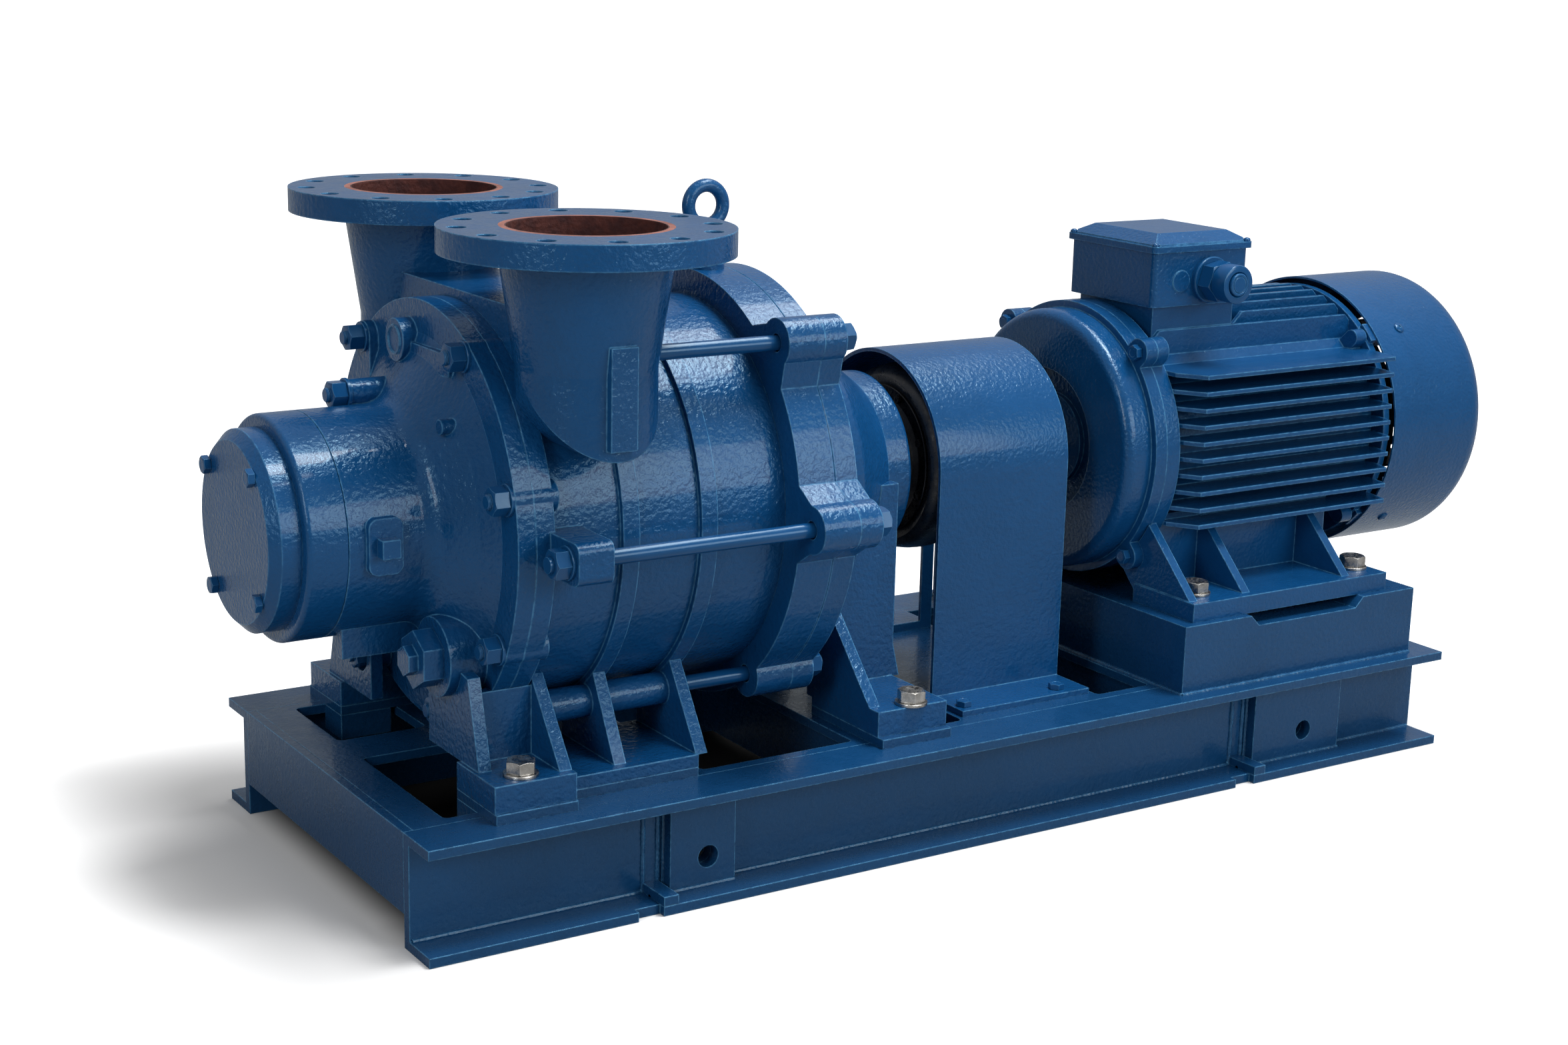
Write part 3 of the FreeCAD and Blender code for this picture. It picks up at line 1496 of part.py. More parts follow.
def rear_cover_blank():
    """Outside of the rear cover, used to cut the stand that carries it."""
    shoulder = rear_rim_end + s.rear_shoulder_length
    hub_start = rear_end - s.rear_hub_length
    points = [
        (casing_end, 0),
        (casing_end, s.rear_plate_radius),
        (rear_rim_end, s.rear_plate_radius),
        (rear_rim_end, s.rear_bell_radius),
        (shoulder, s.rear_shoulder_radius),
        (hub_start, s.rear_hub_radius),
        (rear_end, s.rear_hub_radius),
        (rear_end, 0),
    ]
    return turned(points, [((shoulder, s.rear_shoulder_radius), s.flare_round)])


# Pump rotor and its bearings

front_bearing_start = cover_front - s.bearing_width
rear_bearing_start = rear_end - s.end_cap_wall - s.bearing_width
pump_shaft_end = rear_end + s.coupling_offset - s.race_wall
coupling_center = rear_end + s.coupling_offset


def pump_shaft():
    """Stepped pump shaft, from the front bearing to the coupling."""
    body = s.pump_shaft_radius
    journal = s.bearing_inner_radius
    tail = s.coupling_shaft_radius
    points = [
        (front_bearing_start - s.race_wall, 0),
        (front_bearing_start - s.race_wall, journal - 2),
        (front_bearing_start - s.race_wall + 2, journal),
        (cover_front, journal),
        (cover_front, body),
        (rear_bearing_start, body),
        (rear_bearing_start, journal),
        (rear_end, journal),
        (rear_end, tail),
        (pump_shaft_end - 2, tail),
        (pump_shaft_end, tail - 2),
        (pump_shaft_end, 0),
    ]
    return turned(points)


def bearing_races(start, outer, inner, width, count_shift=0):
    """Outer ring, cage with its balls as one ring, and inner ring of a bearing."""
    wall = s.race_wall
    gap = s.shaft_clearance
    rings = []
    for low, high in ((outer - wall, outer), (inner + wall + gap, outer - wall - gap), (inner, inner + wall)):
        rings.append(tube(low, high, width, start))
    return rings


def tube(inner, outer, length, start):
    """Plain ring round the shaft axis."""
    return cut(bar("X", outer, length, start), bar("X", inner, length, start))


def impeller():
    """Impeller: hub and forward-curved blades that sweep the liquid ring."""
    start = seam + s.manifold_length + s.port_plate_thickness + s.impeller_side_clearance
    end = casing_end - s.port_plate_thickness - s.impeller_side_clearance
    hub = tube(s.pump_shaft_radius, s.impeller_hub_radius, end - start, start)
    count = int(SIZES["impeller_blade_count"])
    blades = [curved_blade(360.0 * index / count, start, end) for index in range(count)]
    return fuse(hub, *blades)


def curved_blade(angle, start, end):
    """One blade, leaning forward as it leaves the hub, as a stretch of a ring."""
    reach = s.impeller_radius
    radius = reach * 0.8
    center_y = reach * 0.62
    center_z = radius * 0.98
    ring_piece = cut(bar("X", radius, end - start, start, center_y, center_z), bar("X", radius - s.impeller_blade_thickness, end - start, start, center_y, center_z))
    room = cut(bar("X", reach, end - start, start), bar("X", s.impeller_hub_radius - 3, end - start, start))
    sector = block((start, end), (0, reach), (-reach * 0.3, reach * 0.55))
    blade = common(ring_piece, common(room, sector))
    turned_blade = loose(blade)
    turned_blade.Placement.Rotation = FreeCAD.Rotation(FreeCAD.Vector(1, 0, 0), angle)
    return turned_blade


def port_plate(start, inlet_angle):
    """Flat plate against the impeller's side, with its suction and discharge ports."""
    disc = bar("X", s.port_plate_radius, s.port_plate_thickness, start)
    bore = bar("X", s.pump_shaft_radius + s.race_wall, s.port_plate_thickness, start)
    middle = (s.impeller_hub_radius + s.impeller_radius) / 2
    ports = []
    for step in range(3):
        for base_angle in (inlet_angle, inlet_angle + 180.0):
            angle = base_angle + 22.0 * (step - 1)
            radius = s.impeller_blade_thickness * (2.0 if base_angle == inlet_angle else 1.4)
            ports.append(bar("X", radius, s.port_plate_thickness, start, middle * cosine(angle), middle * sine(angle)))
    return cut(disc, bore, *ports)


def packing_rings():
    """Rings of shaft packing in both stuffing boxes."""
    box_start = seam - s.cover_flare_length + s.cover_step - s.stuffing_box_length
    inner = s.pump_shaft_radius + s.shaft_clearance
    rings = []
    for index in range(3):
        for start in (box_start + index * s.packing_ring_width, rear_seam - s.rear_wall + index * s.packing_ring_width):
            rings.append(tube(inner, s.stuffing_box_radius, s.packing_ring_width - 1, start))
    return loose(*rings)


# Coupling and guard

def coupling_half(start, length, flange_start):
    """Coupling hub with the flange that grips one side of the rubber tyre."""
    hub = tube(s.coupling_shaft_radius, s.coupling_hub_radius, length, start)
    flange = tube(s.coupling_shaft_radius, s.coupling_flange_radius, s.coupling_flange_thickness, flange_start)
    return fuse(hub, flange)


def pump_coupling_hub():
    """Half of the coupling on the pump shaft."""
    flange_start = coupling_center - s.tyre_width / 2 + s.tyre_wall
    start = pump_shaft_end - s.pump_hub_length
    return coupling_half(start, s.pump_hub_length, flange_start)


def motor_coupling_hub():
    """Half of the coupling on the motor shaft."""
    flange_end = coupling_center + s.tyre_width / 2 - s.tyre_wall
    return coupling_half(flange_end - s.coupling_flange_thickness, s.motor_hub_length, flange_end - s.coupling_flange_thickness)


def coupling_tyre():
    """Rubber tyre of the coupling, a hollow arch clamped on the outside of both flanges."""
    start = coupling_center - s.tyre_width / 2
    end = coupling_center + s.tyre_width / 2
    wall = s.tyre_wall
    foot = s.tyre_foot_radius
    shoulder = s.tyre_radius - wall
    points = [
        (start, foot),
        (start, shoulder),
        (start + wall, s.tyre_radius),
        (end - wall, s.tyre_radius),
        (end, shoulder),
        (end, foot),
        (end - wall, foot),
        (end - wall, shoulder - wall / 2),
        (end - 1.5 * wall, shoulder),
        (start + 1.5 * wall, shoulder),
        (start + wall, shoulder - wall / 2),
        (start + wall, foot),
    ]
    return turned(points)


def coupling_guard():
    """Sheet guard: an arch with straight walls and feet, over the coupling, with a window in its far wall."""
    radius = s.guard_radius
    length = s.guard_length
    sheet = s.guard_sheet
    base = s.base_height - s.shaft_height
    outer_top = bar("X", radius, length, guard_start)
    outer_low = block((guard_start, guard_end), (-radius, radius), (base, 0))
    inner_top = bar("X", radius - sheet, length, guard_start)
    inner_low = block((guard_start, guard_end), (sheet - radius, radius - sheet), (base, 0))
    feet = []
    for side in SIDES:
        foot = block(
            (guard_start, guard_end),
            across(side, radius - sheet, radius + s.guard_foot_reach),
            (base, base + s.guard_foot_thickness),
        )
        feet.append(foot)
    shell = cut(fuse(outer_top, outer_low), fuse(inner_top, inner_low))
    window_x = (guard_start + s.guard_window_margin, guard_end - s.guard_window_margin)
    window_y = across(FAR, radius - 2 * sheet, radius + sheet)
    window = block(window_x, window_y, (base + s.guard_window_low, base + s.guard_window_high))
    return cut(fuse(shell, *feet), window)


def guard_bolts():
    """Four hexagon screws that hold the guard's feet to the base."""
    level = s.base_height + s.guard_foot_thickness
    first = guard_start + s.guard_bolt_inset
    points = [
        (x, side * s.guard_bolt_y, level) for side in SIDES for x in (first, first + s.guard_bolt_spacing)
    ]
    return hex_screws("Z", points, s.guard_bolt_flats, s.guard_bolt_head)


# Motor

motor_bearing_start = motor_start + s.shield_recess_depth + s.shield_wall / 2
motor_rear_bearing_start = barrel_end - s.motor_bearing_width / 2
motor_shaft_front = motor_start - s.shaft_end_reach
stator_start = frame_start + (s.barrel_length - s.stator_length) / 2


def drive_end_shield():
    """Drive-end shield: rounded face with a stepped recess round the shaft, and ears for its bolts."""
    outer = s.shield_radius
    body = s.shield_body_radius
    flange_start = frame_start - s.ear_length
    recess = s.shield_recess_radius
    recess_floor = motor_start + s.shield_recess_depth
    seat = s.motor_bearing_outer_radius
    bearing_end = motor_bearing_start + s.motor_bearing_width
    shaft_hole = s.motor_bearing_inner_radius + s.race_wall / 2
    points = [
        (motor_start, recess),
        (motor_start, body),
        (flange_start, body),
        (flange_start, outer),
        (frame_start, outer),
        (frame_start, s.barrel_radius - s.barrel_wall),
        (frame_start - s.shield_wall, s.barrel_radius - s.barrel_wall),
        (recess_floor + s.shield_wall, recess),
        (bearing_end, recess - s.shield_wall),
        (bearing_end, seat),
        (motor_bearing_start, seat),
        (motor_bearing_start, shaft_hole),
        (recess_floor - s.shield_wall / 2, shaft_hole),
        (recess_floor - s.shield_wall / 2, seat),
        (recess_floor, seat),
        (recess_floor, recess),
    ]
    shell = turned(points, [((motor_start, body), s.shield_face_length)])
    return fuse(shell, *shield_ears(flange_start, s.ear_radius, s.ear_circle_radius))


def shield_ears(start, radius, circle):
    """Four ears at the corners, each a rounded arm that stands out from the round body."""
    ears = []
    for index in range(4):
        arm = block((start, start + s.ear_length), (s.barrel_radius - s.barrel_wall / 2, circle), (-radius, radius))
        ear = fuse(arm, bar("X", radius, s.ear_length, start, circle, 0))
        ears.append(turned_about_shaft(ear, 45.0 + 90.0 * index))
    return ears


def turned_about_shaft(piece, angle):
    """A piece drawn on the far side of the shaft, turned round it."""
    piece.Placement.Rotation = FreeCAD.Rotation(FreeCAD.Vector(1, 0, 0), angle)
    return piece


def non_drive_end_shield():
    """Rear shield between the frame and the fan."""
    outer = s.cowl_radius - s.cowl_sheet - s.cowl_air_gap
    seat = s.motor_bearing_outer_radius
    seat_end = motor_rear_bearing_start + s.motor_bearing_width
    points = [
        (barrel_end, seat),
        (barrel_end, outer),
        (rear_shield_end - s.race_wall, outer),
        (rear_shield_end, outer - s.race_wall),
        (rear_shield_end, s.motor_bearing_inner_radius + 2),
        (seat_end, s.motor_bearing_inner_radius + 2),
        (seat_end, seat),
    ]
    shell = turned(points)
    brackets = []
    for angle in (45.0, 135.0, 225.0, 315.0):
        reach = s.cowl_radius - s.cowl_sheet
        half = s.bracket_half_width
        end = cowl_start + s.cowl_screw_lead + half
        bracket = block((barrel_end + 4, end), (outer - s.race_wall, reach), (-half, half))
        turned_bracket = loose(bracket)
        turned_bracket.Placement.Rotation = FreeCAD.Rotation(FreeCAD.Vector(1, 0, 0), angle)
        trimmed = common(turned_bracket, bar("X", reach, s.cowl_length, barrel_end))
        brackets.append(trimmed)
    return fuse(shell, *brackets)


def shield_bolts():
    """Hexagon screws in the ears of the drive-end shield."""
    start = frame_start - s.ear_length - s.ear_bolt_head
    points = ring_of_points(4, 45.0, s.ear_circle_radius, start, 90.0)
    return hex_screws("X", points, s.ear_bolt_flats, s.ear_bolt_head)


def motor_frame():
    """Finned motor frame: barrel, flange at the drive end, fins, feet with ribs, and box seat."""
    barrel_points = [
        (frame_start, s.barrel_radius - s.barrel_wall),
        (frame_start, s.frame_flange_radius),
        (frame_start + s.frame_flange_length, s.frame_flange_radius),
        (frame_start + s.frame_flange_length, s.barrel_radius),
        (barrel_end, s.barrel_radius),
        (barrel_end, s.barrel_radius - s.barrel_wall),
    ]
    barrel = turned(barrel_points)
    ears = shield_ears(frame_start, s.ear_radius, s.ear_circle_radius)
    rear_ears = shield_ears(barrel_end - s.ear_length, s.rear_ear_radius, s.rear_ear_circle_radius)
    near = fuse(*side_fins(), foot_of_motor())
    inside = bar("X", s.barrel_radius - s.barrel_wall, s.barrel_length, frame_start)
    shield_room = [bar("X", s.shield_radius + 1, s.shield_length, motor_start)]
    shield_room += shield_ears(frame_start - s.ear_length, s.ear_radius, s.ear_circle_radius)
    neck = terminal_box_neck()
    whole = fuse(barrel, near, mirrored(near), neck, *top_fins(), *bottom_fins(), *ears, *rear_ears)
    holes = [
        bar("Z", s.foot_bolt_radius + s.foot_bolt_clearance, s.motor_foot_thickness, x, y, pedestal_level)
        for x, y in motor_bolt_places()
    ]
    return cut(whole, inside, *shield_room, *holes)


def side_fins():
    """Horizontal fins on the near side, each with sloping ends."""
    fins = []
    start = frame_start + s.frame_flange_length
    root_y = s.barrel_radius * 0.6
    for index in range(int(SIZES["fin_side_count"])):
        level = s.fin_top_height - s.fin_pitch * index - s.fin_thickness / 2
        points = [
            (start, -root_y),
            (start, -s.frame_flange_radius + s.ear_radius),
            (start + s.fin_front_slope, -s.fin_side_reach),
            (barrel_end - s.fin_rear_slope, -s.fin_side_reach),
            (barrel_end, -s.barrel_radius - s.fin_rear_slope),
            (barrel_end, -root_y),
        ]
        fins.append(plate("XY_Plane", points, s.fin_thickness, level))
    return fins


def upright_fin(offset, start, end, upward):
    """Upright fin at one place across the motor, up to the fins' round envelope."""
    tip = upward * root(s.fin_top_radius * s.fin_top_radius - offset * offset)
    foot = upward * s.barrel_radius * 0.7
    points = [
        (start, foot),
        (start, tip - upward * s.fin_front_slope),
        (start + s.fin_front_slope, tip),
        (end - s.fin_rear_slope, tip),
        (end, tip - upward * s.fin_rear_slope),
        (end, foot),
    ]
    return plate("XZ_Plane", points, s.fin_thickness, offset - s.fin_thickness / 2)


def top_fins():
    """Upright fins on top, shortened where the terminal box stands."""
    fins = []
    box_end = motor_start + s.box_lead + s.box_length
    for index in range(10):
        offset = s.fin_pitch * (index - 4.5)
        behind_box = float(s.box_neck_inset - s.box_near_y) < float(offset) < float(s.box_far_y)
        start = box_end if behind_box else frame_start + s.frame_flange_length
        fins.append(upright_fin(offset, start, barrel_end, 1))
    return fins


def bottom_fins():
    """Upright fins under the barrel, between the feet."""
    start = frame_start + s.frame_flange_length
    return [upright_fin(s.fin_pitch * (index - 2.0), start, barrel_end, -1) for index in range(5)]


def foot_of_motor():
    """Near foot of the motor: pad and two ribs that reach up to the barrel."""
    pad_reach = across(NEAR, s.motor_foot_inner_y, s.motor_foot_outer_y)
    top = pedestal_level + s.motor_foot_thickness
    pad = block((motor_foot_start, motor_foot_end), pad_reach, (pedestal_level, top))
    rib_points = [
        (-s.motor_foot_outer_y + 12, top - 1),
        (-s.motor_foot_inner_y, top - 1 - s.motor_foot_thickness / 2),
        (-s.barrel_radius * 0.45, -s.barrel_radius * 0.7),
        (-s.barrel_radius, -s.barrel_radius * 0.55),
    ]
    ribs = []
    for x in (motor_foot_start + s.foot_rib_lead, motor_foot_start + 100, motor_foot_end - 76):
        ribs.append(plate("YZ_Plane", rib_points, s.motor_foot_rib_thickness, x))
    wall = block(
        (motor_foot_start + s.foot_rib_lead, motor_foot_end - 20),
        (-s.motor_foot_inner_y - s.motor_foot_rib_thickness, -s.motor_foot_inner_y),
        (top - s.motor_foot_thickness, -s.barrel_radius * 0.5),
    )
    return fuse(pad, wall, *ribs)


def terminal_box_neck():
    """Seat of the terminal box, cast on the frame."""
    inset = s.box_neck_inset
    start = motor_start + s.box_lead + inset
    end = start + s.box_length - 2 * inset
    return block((start, end), (-s.box_near_y + inset, s.box_far_y - inset), (s.barrel_radius * 0.6, s.box_floor))


def stator_core():
    """Stator core with its winding ends."""
    core = tube(s.stator_bore_radius, s.barrel_radius - s.barrel_wall, s.stator_length, stator_start)
    middle = (s.stator_bore_radius + s.barrel_radius - s.barrel_wall) / 2
    whole_length = s.stator_length + 2 * s.winding_overhang
    windings = tube(s.stator_bore_radius + s.race_wall, middle + s.race_wall, whole_length, stator_start - s.winding_overhang)
    return fuse(core, windings)


def rotor_core():
    """Squirrel-cage rotor core."""
    start = stator_start + (s.stator_length - s.rotor_length) / 2
    return tube(s.motor_shaft_radius, s.stator_bore_radius - s.air_gap, s.rotor_length, start)


def motor_shaft():
    """Stepped motor shaft, from the coupling to the fan."""
    body = s.motor_shaft_radius
    journal = s.motor_bearing_inner_radius
    tail = s.coupling_shaft_radius
    front_seat_end = motor_bearing_start + s.motor_bearing_width
    fan_end = rear_shield_end + s.fan_gap + s.fan_width
    points = [
        (motor_shaft_front, 0),
        (motor_shaft_front, tail - 2),
        (motor_shaft_front + 2, tail),
        (front_seat_end, tail),
        (front_seat_end, body),
        (motor_rear_bearing_start, body),
        (motor_rear_bearing_start, journal),
        (rear_shield_end + s.fan_gap, journal),
        (rear_shield_end + s.fan_gap, journal - 5),
        (fan_end, journal - 5),
        (fan_end, 0),
    ]
    return turned(points)


def cooling_fan():
    """Radial fan: hub, back plate and straight blades that work either way round."""
    start = rear_shield_end + s.fan_gap
    hub = bar("X", s.fan_hub_radius, s.fan_width, start)
    back = bar("X", s.fan_radius, s.fan_blade_thickness, start)
    count = int(SIZES["fan_blade_count"])
    half = s.fan_blade_thickness / 2
    blades = []
    for index in range(count):
        blade = block((start, start + s.fan_width), (s.fan_hub_radius - 3, s.fan_radius), (-half, half))
        turned_blade = loose(blade)
        turned_blade.Placement.Rotation = FreeCAD.Rotation(FreeCAD.Vector(1, 0, 0), 360.0 * index / count)
        blades.append(turned_blade)
    bore = bar("X", s.motor_bearing_inner_radius - 5, s.fan_width, start)
    return cut(fuse(hub, back, *blades), bore)


def fan_cowl():
    """Sheet cowl over the fan, rounded at the back, with rings of slots for the air."""
    sheet = s.cowl_sheet
    outer = s.cowl_radius
    points = [
        (cowl_start, outer - sheet),
        (cowl_start, outer),
        (cowl_end, outer),
        (cowl_end, 0),
        (cowl_end - sheet, 0),
        (cowl_end - sheet, outer - sheet),
    ]
    rounds = [((cowl_end, outer), s.cowl_round), ((cowl_end - sheet, outer - sheet), s.cowl_round - sheet)]
    shell = turned(points, rounds)
    slots = []
    for index in range(int(SIZES["cowl_slot_rings"])):
        inner = s.fan_hub_radius + s.cowl_slot_pitch * index
        slots.append(tube(inner, inner + s.cowl_slot_width, 2 * sheet, cowl_end - 1.5 * sheet))
    spokes = []
    for index in range(4):
        spoke = block((cowl_end - 2 * sheet, cowl_end + sheet), (-outer, outer), (-s.cowl_slot_width / 2, s.cowl_slot_width / 2))
        turned_spoke = loose(spoke)
        turned_spoke.Placement.Rotation = FreeCAD.Rotation(FreeCAD.Vector(1, 0, 0), 45.0 * index)
        spokes.append(turned_spoke)
    return cut(shell, cut(loose(*slots), fuse(*spokes)))


def cowl_screws():
    """Round-headed screws that hold the cowl to the rear shield's brackets."""
    x = cowl_start + s.cowl_screw_lead
    screws = []
    for angle in (45.0, 135.0, 225.0, 315.0):
        screw = bar("Y", s.cowl_screw_radius, s.cowl_screw_head, x, s.cowl_radius - 0.5, 0)
        turned_screw = loose(screw)
        turned_screw.Placement.Rotation = FreeCAD.Rotation(FreeCAD.Vector(1, 0, 0), angle)
        screws.append(cut(turned_screw, bar("X", s.cowl_radius, s.cowl_length, cowl_start)))
    return loose(*screws)


# Terminal box

box_start = motor_start + s.box_lead
box_end = box_start + s.box_length
box_top = s.box_floor + s.box_height


def terminal_box():
    """Cast terminal box, open at the top, with a gland hole and a blind knock-out."""
    wall = s.box_wall
    outside = rectangle(box_start, box_end, -s.box_near_y, s.box_far_y)
    solid = plate("XY_Plane", outside, s.box_height, s.box_floor, s.box_corner_radius)
    inside = block((box_start + wall, box_end - wall), (wall - s.box_near_y, s.box_far_y - wall), (s.box_floor + wall, box_top + 1))
    gland_x, gland_z = gland_place()
    gland_hole = bar("Y", s.gland_cap_radius - s.box_wall, 2 * wall, gland_x, -s.box_near_y - wall / 2, gland_z)
    knockout = bar("Y", s.knockout_radius, s.knockout_proud, box_start + s.knockout_x, -s.box_near_y - s.knockout_proud, gland_z)
    return fuse(cut(solid, inside, gland_hole), knockout)


def gland_place():
    """Center of the cable gland as (x, height over the shaft)."""
    return box_start + s.gland_x, s.box_floor + s.gland_height


def terminal_box_lid():
    """Lid with a flat rim and a beveled top."""
    over = s.lid_overhang
    low = (box_start - over, box_end + over, -s.box_near_y - over, s.box_far_y + over)
    rim = plate("XY_Plane", rectangle(*low), s.lid_rim, box_top, s.box_corner_radius)
    step = s.lid_bevel
    raised = plate(
        "XY_Plane",
        rectangle(low[0] + 6, low[1] - 6, low[2] + 6, low[3] - 6),
        s.lid_height - s.lid_rim,
        box_top + s.lid_rim,
    )
    doc.recompute()
    top = raised.Tip
    level = max(edge.BoundBox.ZMax for edge in top.Shape.Edges)
    names = []
    for number, edge in enumerate(top.Shape.Edges, start=1):
        if edge.BoundBox.ZMin > level - 1e-3:
            names.append(f"Edge{number}")
    bevel = raised.newObject("PartDesign::Chamfer", "Bevel")
    bevel.Base = (top, names)
    bevel.ChamferType = "Two distances"
    bind(bevel, Size=s.lid_height - s.lid_rim - 2, Size2=step)
    raised.Tip = bevel
    corners = []
    for x in (low[0], low[1]):
        for y in (low[2], low[3]):
            corners.append(bar("Z", s.lid_bevel * 0.7, s.lid_height, x, y, box_top + s.lid_rim))
    return fuse(rim, cut(raised, *corners))


def lid_screws():
    """Four cheese-head screws at the corners of the lid."""
    inset = s.lid_bevel * 0.32
    pieces = []
    for x in (box_start - s.lid_overhang + inset, box_end + s.lid_overhang - inset):
        for y in (-s.box_near_y - s.lid_overhang + inset, s.box_far_y + s.lid_overhang - inset):
            pieces.append(bar("Z", s.lid_screw_radius, s.lid_screw_head, x, y, box_top + s.lid_rim))
    return loose(*pieces)


def cable_gland():
    """Cable gland: flange, hexagon body and round cap nut, bored for a cable."""
    x, z = gland_place()
    face = -s.box_near_y
    flange = bar("Y", s.gland_flange_radius, s.gland_flange_thickness, x, face - s.gland_flange_thickness, z)
    body_start = face - s.gland_flange_thickness - s.gland_length
    body = hexagon("Y", s.gland_flats, s.gland_length, x, body_start, z)
    cap_start = body_start - s.gland_cap_length
    cap = taper("Y", s.gland_cap_radius - 4, s.gland_cap_radius, s.gland_cap_length, x, cap_start, z)
    bore = bar("Y", s.gland_plug_radius, s.gland_flange_thickness + s.gland_length + s.gland_cap_length, x, cap_start, z)
    return cut(fuse(flange, body, cap), bore)


def gland_plug():
    """Blanking disc in the mouth of the empty gland."""
    x, z = gland_place()
    cap_start = -s.box_near_y - s.gland_flange_thickness - s.gland_length - s.gland_cap_length
    return bar("Y", s.gland_plug_radius, s.gland_length, x, cap_start - s.gland_plug_proud, z)


def build():
    """Make every sub-part of the set."""
    on_floor("near_side_beam", side_beam(NEAR))
    on_floor("far_side_beam", side_beam(FAR))
    on_floor("lifting_plates", lifting_plates())
    on_floor("end_plates", end_plates())
    on_floor("deck_plate", deck_plate())
    on_floor("cross_members", cross_members())
    on_floor("foot_brackets", foot_brackets())
    on_floor("pump_foot_pads", foot_pads())
    on_floor("motor_pedestal", motor_pedestal())
    on_floor("pump_foot_bolts", pump_foot_bolts())
    on_floor("motor_foot_bolts", motor_foot_bolts())

    on_shaft("front_end_cap", end_cap())
    on_shaft("end_cap_bolts", end_cap_bolts())
    on_shaft("front_bearing_carrier", bearing_ring())
    on_shaft("front_cover", front_cover())
    on_shaft("cover_bolts", cover_bolts())
    on_shaft("side_plug", loose(side_plug()))
    on_shaft("drain_plug", drain_plug())
    on_shaft("pump_casing", casing())
    on_shaft("branch_saddle", saddle())
    on_shaft("suction_branch", branch(NEAR))
    on_shaft("discharge_branch", branch(FAR))
    on_shaft("rear_plate", rear_plate())
    on_shaft("rear_cover", rear_cover())
    on_shaft("tie_rods", tie_rods())
    on_shaft("tie_rod_nuts", tie_rod_nuts())
    on_shaft("lifting_eye", eyebolt())
    on_shaft("front_feet", front_feet())
    on_shaft("casing_feet", casing_feet())
    on_shaft("rear_stand", rear_stand())

    seat_start = seam + s.manifold_length
    rear_seat_start = casing_end - s.port_plate_thickness
    on_shaft("port_plates", loose(port_plate(seat_start, 200.0), port_plate(rear_seat_start, 200.0)))
    on_shaft("packing_rings", packing_rings())
    pump_bearings = [
        bearing_races(start, s.bearing_outer_radius, s.bearing_inner_radius, s.bearing_width)
        for start in (front_bearing_start, rear_bearing_start)
    ]
    for name, rings in zip(("pump_bearing_outer_rings", "pump_bearing_cages", "pump_bearing_inner_rings"), zip(*pump_bearings)):
        on_shaft(name, loose(*rings))
    on_shaft("pump_shaft", pump_shaft())
    on_shaft("impeller", impeller())
    on_shaft("pump_coupling_hub", pump_coupling_hub())
    on_shaft("coupling_tyre", coupling_tyre())
    on_shaft("motor_coupling_hub", motor_coupling_hub())
    on_shaft("coupling_guard", coupling_guard())
    on_floor("guard_bolts", guard_bolts())

    on_shaft("motor_frame", motor_frame())
    on_shaft("drive_end_shield", drive_end_shield())
    on_shaft("non_drive_end_shield", non_drive_end_shield())
    on_shaft("shield_bolts", shield_bolts())
    on_shaft("stator_core", stator_core())
    on_shaft("rotor_core", rotor_core())
    on_shaft("motor_shaft", motor_shaft())
    motor_bearings = [
        bearing_races(start, s.motor_bearing_outer_radius, s.motor_bearing_inner_radius, s.motor_bearing_width)
        for start in (motor_bearing_start, motor_rear_bearing_start)
    ]
    for name, rings in zip(("motor_bearing_outer_rings", "motor_bearing_cages", "motor_bearing_inner_rings"), zip(*motor_bearings)):
        on_shaft(name, loose(*rings))
    on_shaft("cooling_fan", cooling_fan())
    on_shaft("fan_cowl", fan_cowl())
    on_shaft("cowl_screws", cowl_screws())
    on_shaft("terminal_box", terminal_box())
    on_shaft("terminal_box_lid", terminal_box_lid())
    on_shaft("lid_screws", lid_screws())
    on_shaft("cable_gland", cable_gland())
    on_shaft("gland_plug", loose(gland_plug()))


def check_and_export():
    """Check every object and sub-part, then write one STEP file for each sub-part."""
    doc.recompute()
    for item in doc.Objects:
        if "Invalid" in item.State or "Error" in item.State:
            raise RuntimeError(f"{item.Name} ({item.Label}) failed: {item.State}")
    for part in SUBPARTS:
        if part.Shape.isNull() or not part.Shape.isValid() or part.Shape.Volume <= 0:
            raise RuntimeError(f"{part.Label} has no valid solid")
    os.makedirs("parts", exist_ok=True)
    for part in SUBPARTS:
        part.Shape.exportStep(f"parts/{part.Label}.step")
    print(f"{len(SUBPARTS)} sub-parts written")


build()
check_and_export()
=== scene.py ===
"""Liquid ring vacuum pump set: paint, metals, rubber, small fitted detail, stage, lamps and camera."""

from __future__ import annotations

import json
import logging
import math
from dataclasses import dataclass, field
from enum import Enum

import bmesh
import bpy
from mathutils import Matrix, Vector

